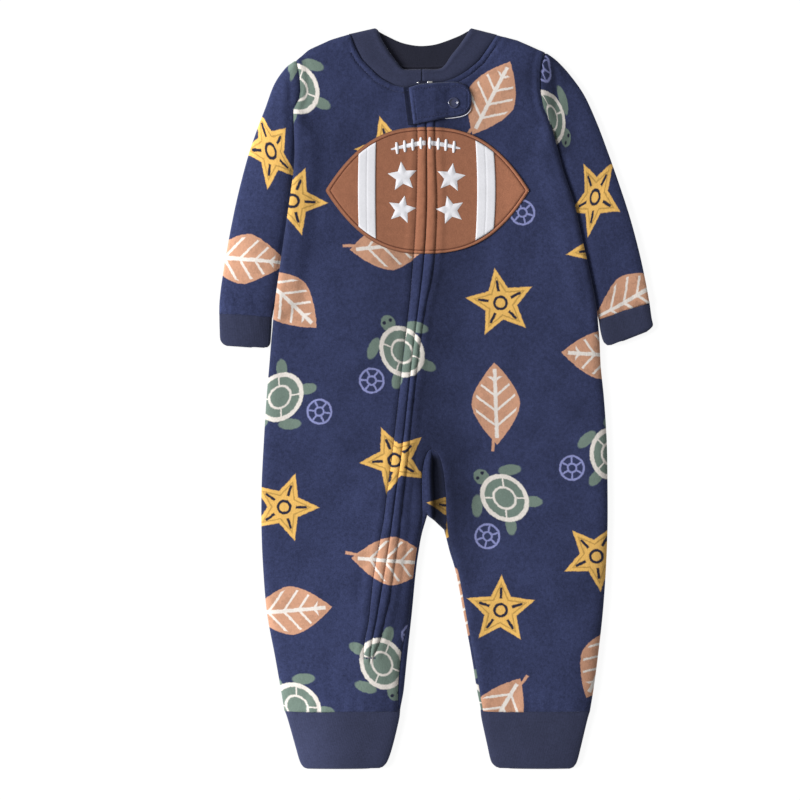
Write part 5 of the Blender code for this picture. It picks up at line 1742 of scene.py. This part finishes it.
def leaf_layers(x, y, colors, streaks):
    """Pointed leaf with a pale rib, slanting veins and a stalk."""
    blade = 22.5 - (abs(x) / 38.0) ** 1.6 * 22.5 - abs(y)
    rib = (1.7 - abs(y)).low(32.0 - abs(x))
    slant = ((x + abs(y) * 0.8) / 14.0).fraction() - 0.5
    vein = (1.3 - abs(slant) * 14.0).low(blade - 2.6).low(25.0 - abs(x))
    stalk = (1.3 - abs(y + x * 0.1)).low(abs(x - 38.0) * -1.0 + 6.0)
    return ((blade, colors.leaf), (stalk, colors.leaf), (streaks.low(blade - 1.5), colors.leaf_dark),
            (rib, colors.cream), (vein, colors.cream))


def turtle_layers(x, y, colors):
    """Turtle from above with its round shell, and a small wheel of thin lines beside it."""
    x = x - 10.0
    side = abs(x)
    shell = ellipse(x, y, 20.0, 24.5)
    head = ellipse(x, y - 29.0, 6.6, 7.8)
    flip_x, flip_y = rotate(side - 22.5, y - 14.0, -42.0)
    front = ellipse(flip_x, flip_y, 10.5, 5.0)
    flip_x, flip_y = rotate(side - 15.0, y + 21.5, 40.0)
    rear = ellipse(flip_x, flip_y, 5.0, 9.0)
    body = head.high(front).high(rear)
    rim = shell.low(3.6 - shell)
    inner = ellipse(x, y, 9.0, 11.0)
    plates = (0.9 - abs(inner)).high((0.9 - abs(side - y * 0.9).low(abs(side + y * 0.9))).low(-inner))
    spot = 1.6 - length_of(side - 3.2, y - 31.0)
    wheel_x = x + 37.0
    wheel_y = y + 12.0
    reach = length_of(wheel_x, wheel_y)
    ring = 0.9 - abs(reach - 11.0)
    ring = ring.high(0.8 - abs(reach - 4.0))
    spokes = (0.8 - abs(wheel_x).low(abs(wheel_x * 0.5 - wheel_y * 0.87)).low(
        abs(wheel_x * 0.5 + wheel_y * 0.87))).low(10.5 - reach).low(reach - 4.0)
    return ((body, colors.turtle), (shell, colors.turtle), (plates.low(shell - 3.0), colors.cream),
            (rim, colors.cream), (spot, colors.ink), (ring.high(spokes), colors.line))


def star_layers(look, x, y, colors):
    """Five-pointed star with ink dashes along its arms and a ring in its middle."""
    outer = 30.0
    inner = 14.2
    sector = 2 * math.pi / 5
    angle = look.node("ShaderNodeMath", {"operation": "ARCTAN2"}, {0: y, 1: x}).outputs[0]
    turn = Number(look, angle) / sector
    off = abs(turn - (turn + 0.5).floor()) * sector
    reach = length_of(x, y)
    px = reach * off.cosine()
    py = reach * off.sine()
    notch = (inner * math.cos(sector / 2), inner * math.sin(sector / 2))
    side_x = notch[1]
    side_y = outer - notch[0]
    size = math.hypot(side_x, side_y)
    body = (outer - px) * (side_x / size) - py * (side_y / size)
    dash = (1.3 - abs(py)).low(5.2 - abs(px - 16.0))
    ring = 1.3 - abs(reach - 5.6)
    line = (0.6 - abs(body - 2.4)).low(px - 8.0)
    return ((body + 1.1, colors.star), (dash.high(ring), colors.ink), (line, colors.star_dark))


def darker(color, share):
    """A colour with only a share of its brightness."""
    return tuple(value * share for value in color)


Inks = namedtuple("Inks", "leaf leaf_dark cream turtle star star_dark ink line")


def print_inks(settings):
    """The print's colours, with darker ones for the leaves' streaks and the stars' outlines."""
    leaf, cream, turtle, star, ink, line = (
        tuple(getattr(settings, name)) for name in ("leaf", "cream", "turtle", "star", "ink", "line"))
    return Inks(leaf, darker(leaf, 0.88), cream, turtle, star, darker(star, 0.6), ink, line)


def printed_color(look, ground, settings):
    """The fleece's print: leaves, turtles and stars scattered in a half-drop repeat."""
    u, v = look.cloth()
    waver = look.noise(3.2, 2.0, 0.6)
    u = u + (waver - 0.5) * 1.7
    v = v + (look.noise(3.0, 2.0, 0.6) - 0.5) * 1.7
    x, y, kind = cell_of(look, u, v, settings.pitch_x * 1000, settings.pitch_y * 1000)
    inks = print_inks(settings)
    streaks = (look.noise(14.0, 3.0, 0.7) - 0.55) * 30.0
    kinds = (
        (0.5 - kind, leaf_layers(x, y, inks, streaks)),
        (0.5 - abs(kind - 1.0), turtle_layers(x, y, inks)),
        (kind - 1.5, star_layers(look, x, y, inks)),
    )
    color = ground
    for chosen, layers in kinds:
        chosen = chosen.math("GREATER_THAN", 0.0)
        for inside, ink in layers:
            color = look.mix(inside.edge(0.9) * chosen, color, ink)
    return color


def nap_numbers(look):
    """Fibres, tufts and larger uneven patches of the nap."""
    return look.noise(1.3, 3.0, 0.65), look.noise(3.2, 2.0, 0.6), look.noise(26.0, 2.0, 0.5)


def mottled(look, color, nap, strength):
    """A colour made uneven by the nap."""
    fibres, tufts, patches = nap
    tone = (fibres - 0.5) * (1.2 * strength) + (tufts - 0.5) * (0.9 * strength) + (patches - 0.5) * 0.25
    return look.shade(color, tone + 1.0)


def painted_shading(look):
    """Factor from the cloth's tone attribute: painted light and shade that make its colour lighter or
    darker.
    """
    node = look.node("ShaderNodeAttribute", {"attribute_type": "GEOMETRY", "attribute_name": "tone"})
    return Number(look, node.outputs["Fac"]) + 1.0


def fleece_finish(look, color, nap, settings):
    """Brushed nap: soft short-range bump and a pale sheen, over a colour with painted light and shade
    from the tone attribute.
    """
    fibres, tufts, _ = nap
    return look.finish(base_color=look.shade(color, painted_shading(look)), roughness=0.95,
                       sheen_weight=0.12, sheen_roughness=0.5, sheen_tint=(0.72, 0.78, 1.0),
                       specular_ior_level=0.1,
                       normal=look.bump(fibres * 0.6 + tufts * 0.4, settings.nap * 1000, 0.8))


def printed_fleece(context, name):
    """The outside of the fleece, with its print."""
    look = Look(name)
    settings = context.scene.onesie_cloth
    nap = nap_numbers(look)
    ground = mottled(look, tuple(settings.ground), nap, 0.66)
    color = printed_color(look, ground, context.scene.onesie_print)
    return fleece_finish(look, mottled(look, color, nap, 0.25), nap, settings)


def plain_fleece(context, name, color):
    """Fleece without a print."""
    look = Look(name)
    nap = nap_numbers(look)
    return fleece_finish(look, mottled(look, tuple(color), nap, 1.15), nap, context.scene.onesie_cloth)


def waves(turn):
    """Even waves between 0 and 1, one for each full turn of an angle."""
    return turn.cosine() * 0.5 + 0.5


def rib_knit(context, name, color):
    """Fine ribs along the second cloth length, with their small stitches."""
    look = Look(name)
    settings = context.scene.onesie_cloth
    u, v = look.cloth()
    ribs = waves(u * (2 * math.pi / (settings.rib * 1000)))
    loops = waves(v * (2 * math.pi / 1.1) + ribs * 2.0)
    uneven = (look.noise(1.6, 3.0, 0.6) - 0.5) * 0.8 + (look.noise(22.0) - 0.5) * 0.3
    # the tone attribute brings painted light and shade across the cuffs
    color = look.shade(tuple(color), (uneven + ribs * 0.06 + 0.97) * painted_shading(look))
    return look.finish(base_color=color, roughness=0.9, sheen_weight=0.10, sheen_roughness=0.5,
                       sheen_tint=(0.8, 0.84, 1.0), specular_ior_level=0.2,
                       normal=look.bump(ribs * 0.75 + loops * 0.25, 0.12, 0.5))


def patch_felt(context):
    """Short-napped brown cloth with a mottled pile."""
    look = Look("patch felt")
    fine = look.noise(1.1, 3.0, 0.7)
    clumps = look.noise(5.0, 2.0, 0.6)
    tone = (fine - 0.5) * 0.6 + (clumps - 0.5) * 0.3 + 1.0
    # the tone attribute brings the patch's painted light and shade
    color = look.shade(tuple(context.scene.onesie_patch.felt), tone * painted_shading(look))
    return look.finish(base_color=color, roughness=0.95, sheen_weight=0.2, sheen_roughness=0.5,
                       sheen_tint=(1.0, 0.75, 0.6), specular_ior_level=0.15,
                       normal=look.bump(fine * 0.7 + clumps * 0.3, 0.6, 0.7))


def satin_thread(name, color):
    """Close parallel threads across a column of satin stitch."""
    look = Look(name)
    _, v = look.cloth()
    uneven = look.noise(2.2, 2.0, 0.6)
    threads = waves(v * (2 * math.pi / 0.55) + uneven * 2.0)
    tone = threads * 0.16 + (uneven - 0.5) * 0.12 + 0.9
    return look.finish(base_color=look.shade(tuple(color), tone), roughness=0.45, sheen_weight=0.15,
                       specular_ior_level=0.4, normal=look.bump(threads, 0.12, 0.6))


def sewing_thread(name, color):
    """A thin thread or cord, and anything else so fine and plain."""
    look = Look(name)
    tone = (look.noise(0.9, 2.0, 0.6) - 0.5) * 0.4 + 1.0
    return look.finish(base_color=look.shade(tuple(color), tone), roughness=0.6,
                       specular_ior_level=0.3, normal=look.bump(look.noise(0.6), 0.1, 0.5))


def woven_tape():
    """Fine plain weave."""
    look = Look("zip tape")
    u, v = look.cloth()
    weave = ((u * 5.2).cosine() * (v * 5.2).cosine()) * 0.5 + 0.5
    return look.finish(base_color=look.shade(TAPE_COLOR, weave * 0.4 + 0.8), roughness=0.8,
                       normal=look.bump(weave, 0.15, 0.6))


def slider_metal(name, color):
    """Metal with worn places."""
    look = Look(name)
    worn = look.noise(1.5, 3.0, 0.6)
    return look.finish(base_color=look.shade(color, worn * 0.3 + 0.85), metallic=1.0,
                       roughness=worn * 0.25 + 0.15, normal=look.bump(worn, 0.05, 0.4))


def snap_plastic():
    """Glossy, slightly cloudy plastic."""
    look = Look("snap plastic")
    cloudy = look.noise(3.0)
    return look.finish(base_color=look.shade(SNAP_COLOR, cloudy * 0.3 + 0.85),
                       roughness=cloudy * 0.1 + 0.1, ior=1.6, coat_weight=1.0, coat_roughness=0.06)


def pale_floor(context):
    """Pale floor that glows a little, so that shadows on it stay pale."""
    look = Look("pale floor")
    tone = (look.noise(60.0, 2.0, 0.5) - 0.5) * 0.02 + 1.0
    settings = context.scene.onesie_stage
    return look.finish(base_color=look.shade(tuple(settings.floor), tone), roughness=0.9,
                       specular_ior_level=0.1, emission_color=(1.0, 1.0, 1.0),
                       emission_strength=settings.glow)


def shared(context, name, make, *values):
    """A material by name, made once."""
    return bpy.data.materials.get(name) or make(context, name, *values)


def fleece_sides(context):
    """Printed outside and plain inside."""
    inside = context.scene.onesie_cloth.inside
    return [shared(context, "printed fleece", printed_fleece),
            shared(context, "fleece inside", plain_fleece, inside)]


def rib_sides(context):
    """Rib for what faces up, and rib in the shade at the back of the neck."""
    cloth = context.scene.onesie_cloth
    return [shared(context, "rib knit", rib_knit, cloth.knit),
            shared(context, "rib in shade", rib_knit, cloth.shaded)]


def navy_thread():
    """The thread of the topstitching and the guard's seam."""
    return bpy.data.materials.get("navy thread") or sewing_thread("navy thread", NAVY_THREAD)


# ------------------------------------------------------------------ stage
FLOOR_HALF = 12.0  # m, as are the floor's drop and the camera's place
FLOOR_DROP = 0.0002
SUN_BEARING = -84  # degrees, clockwise from the head end
SUN_HEIGHT = 32
SUN_SPREAD = 26
CAMERA_LENS = 120.0  # mm
CAMERA_SENSOR = 36.0
CAMERA_PLACE = (-0.033, -0.0014)


def add_sun(name, power):
    """A wide soft light, aimed at the middle of the floor."""
    bearing, height = math.radians(SUN_BEARING), math.radians(SUN_HEIGHT)
    data = bpy.data.lights.new(name, "SUN")
    data.energy = power
    data.angle = math.radians(SUN_SPREAD)
    light = bpy.data.objects.new(name, data)
    level = math.cos(height)
    light.location = (level * math.sin(bearing), level * math.cos(bearing), math.sin(height))
    light.rotation_euler = light.location.to_track_quat("Z", "Y").to_euler()
    bpy.context.scene.collection.objects.link(light)


def add_floor(context):
    """A wide square floor just under the garment."""
    bm = bmesh.new()
    bmesh.ops.create_grid(bm, x_segments=1, y_segments=1, size=FLOOR_HALF)
    bmesh.ops.translate(bm, vec=(0, 0, -FLOOR_DROP), verts=bm.verts)
    mesh = bpy.data.meshes.new("floor")
    bm.to_mesh(mesh)
    bm.free()
    floor = bpy.data.objects.new("floor", mesh)
    mesh.materials.append(pale_floor(context))
    context.scene.collection.objects.link(floor)


def add_surround(context, strength):
    """Even white light from all round."""
    world = bpy.data.worlds.new("studio")
    world.use_nodes = True
    background = world.node_tree.nodes["Background"]
    background.inputs["Color"].default_value = (1.0, 1.0, 1.0, 1.0)
    background.inputs["Strength"].default_value = strength
    context.scene.world = world


def add_camera(context, width):
    """A long lens straight above, high enough to see a width of the floor."""
    data = bpy.data.cameras.new("camera")
    data.lens = CAMERA_LENS
    data.sensor_width = CAMERA_SENSOR
    camera = bpy.data.objects.new("camera", data)
    camera.location = (*CAMERA_PLACE, width * data.lens / data.sensor_width)
    context.scene.collection.objects.link(camera)
    context.scene.camera = camera


# ------------------------------------------------------------------ operators
class ONESIE_OT_body(bpy.types.Operator):
    """Make the front, back and crotch pieces of printed fleece"""

    bl_idname = "onesie.body"
    bl_label = "Body"

    def execute(self, context):
        sides = fleece_sides(context)
        make_back(sides)
        make_front(sides)
        make_crotch(sides)
        return {"FINISHED"}


class ONESIE_OT_sleeves(bpy.types.Operator):
    """Make both sleeves, tucked under the body's sides"""

    bl_idname = "onesie.sleeves"
    bl_label = "Sleeves"

    def execute(self, context):
        sides = fleece_sides(context)
        make_sleeve("right", RIGHT_SLEEVE, RIGHT_FLANK, RIGHT_ARMHOLE, RIGHT_SLEEVE_SHIFT, sides)
        make_sleeve("left", LEFT_SLEEVE, LEFT_FLANK, LEFT_ARMHOLE, LEFT_SLEEVE_SHIFT, sides)
        return {"FINISHED"}


class ONESIE_OT_ribs(bpy.types.Operator):
    """Make the wrist and ankle cuffs and the neckband in folded rib"""

    bl_idname = "onesie.ribs"
    bl_label = "Cuffs and Neckband"

    def execute(self, context):
        sides = rib_sides(context)
        for cuff in CUFFS:
            make_cuff(cuff, sides[:1])
        make_neckband(sides)
        return {"FINISHED"}


class ONESIE_OT_zip(bpy.types.Operator):
    """Make the zip's tape, coil and slider"""

    bl_idname = "onesie.zip"
    bl_label = "Zip"

    def execute(self, context):
        make_tape(woven_tape())
        make_coil(sewing_thread("coil nylon", COIL_NYLON))
        metal = slider_metal("bare metal", BARE_METAL)
        make_slider(slider_metal("painted metal", PAINTED_METAL), metal)
        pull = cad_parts["zip_pull"]
        pull.data.materials.clear()
        pull.data.materials.append(metal)
        return {"FINISHED"}


class ONESIE_OT_guard(bpy.types.Operator):
    """Make the guard over the zip's top and its snap"""

    bl_idname = "onesie.guard"
    bl_label = "Zip Guard"

    def execute(self, context):
        ground = context.scene.onesie_cloth.ground
        make_guard([plain_fleece(context, "guard fleece", ground)])
        make_guard_stitches(navy_thread())
        make_guard_edge(sewing_thread("pale facing", PALE_FACING))
        make_snap(snap_plastic())
        return {"FINISHED"}


class ONESIE_OT_patch(bpy.types.Operator):
    """Make the chest patch with its stripes, lacing, stars and stitching"""

    bl_idname = "onesie.patch"
    bl_label = "Chest Patch"

    def execute(self, context):
        settings = context.scene.onesie_patch
        felt = patch_felt(context)
        white = satin_thread("white satin thread", settings.white)
        for word, side in (("right", -1), ("left", 1)):
            make_patch_half(word, side, felt)
        for stripe in STRIPES:
            make_stripe(stripe, white)
        make_lacing(white)
        make_stars(white)
        make_brown_stitches(sewing_thread("brown thread", settings.thread))
        return {"FINISHED"}


class ONESIE_OT_topstitching(bpy.types.Operator):
    """Sew the topstitching beside the zip and round the neck"""

    bl_idname = "onesie.topstitching"
    bl_label = "Topstitching"

    def execute(self, context):
        make_navy_stitches(navy_thread())
        return {"FINISHED"}


class ONESIE_OT_stage(bpy.types.Operator):
    """Lay the floor, hang the light and set the camera straight above"""

    bl_idname = "onesie.stage"
    bl_label = "Floor, Light and Camera"

    def execute(self, context):
        settings = context.scene.onesie_stage
        add_floor(context)
        add_sun("key", settings.key)
        add_surround(context, settings.sky)
        add_camera(context, settings.view)
        context.scene.view_settings.view_transform = "Standard"
        return {"FINISHED"}


OPERATORS = (
    ONESIE_OT_body, ONESIE_OT_sleeves, ONESIE_OT_ribs, ONESIE_OT_zip, ONESIE_OT_patch,
    ONESIE_OT_topstitching, ONESIE_OT_guard, ONESIE_OT_stage,
)


class ONESIE_PT_panel(bpy.types.Panel):
    """Pieces of the onesie and their settings"""

    bl_idname = "ONESIE_PT_panel"
    bl_label = "Onesie Pajama"
    bl_space_type = "VIEW_3D"
    bl_region_type = "UI"
    bl_category = "Onesie"

    def draw(self, context):
        layout = self.layout
        for operator in OPERATORS:
            layout.operator(operator.bl_idname)
        for group in (context.scene.onesie_cloth, context.scene.onesie_print,
                      context.scene.onesie_patch, context.scene.onesie_stage):
            box = layout.box()
            for name in group.__annotations__:
                box.prop(group, name)


SETTINGS = {"onesie_cloth": OnesieCloth, "onesie_print": OnesiePrint, "onesie_patch": OnesiePatch,
            "onesie_stage": OnesieStage}


def register():
    for cls in (*SETTINGS.values(), *OPERATORS, ONESIE_PT_panel):
        bpy.utils.register_class(cls)
    for name, cls in SETTINGS.items():
        setattr(bpy.types.Scene, name, PointerProperty(type=cls))


def unregister():
    for name in SETTINGS:
        delattr(bpy.types.Scene, name)
    for cls in (ONESIE_PT_panel, *OPERATORS, *SETTINGS.values()):
        bpy.utils.unregister_class(cls)


def main():
    """Make every piece and the stage."""
    register()
    for operator in OPERATORS:
        group, name = operator.bl_idname.split(".")
        getattr(getattr(bpy.ops, group), name)()


if __name__ == "__main__":
    main()
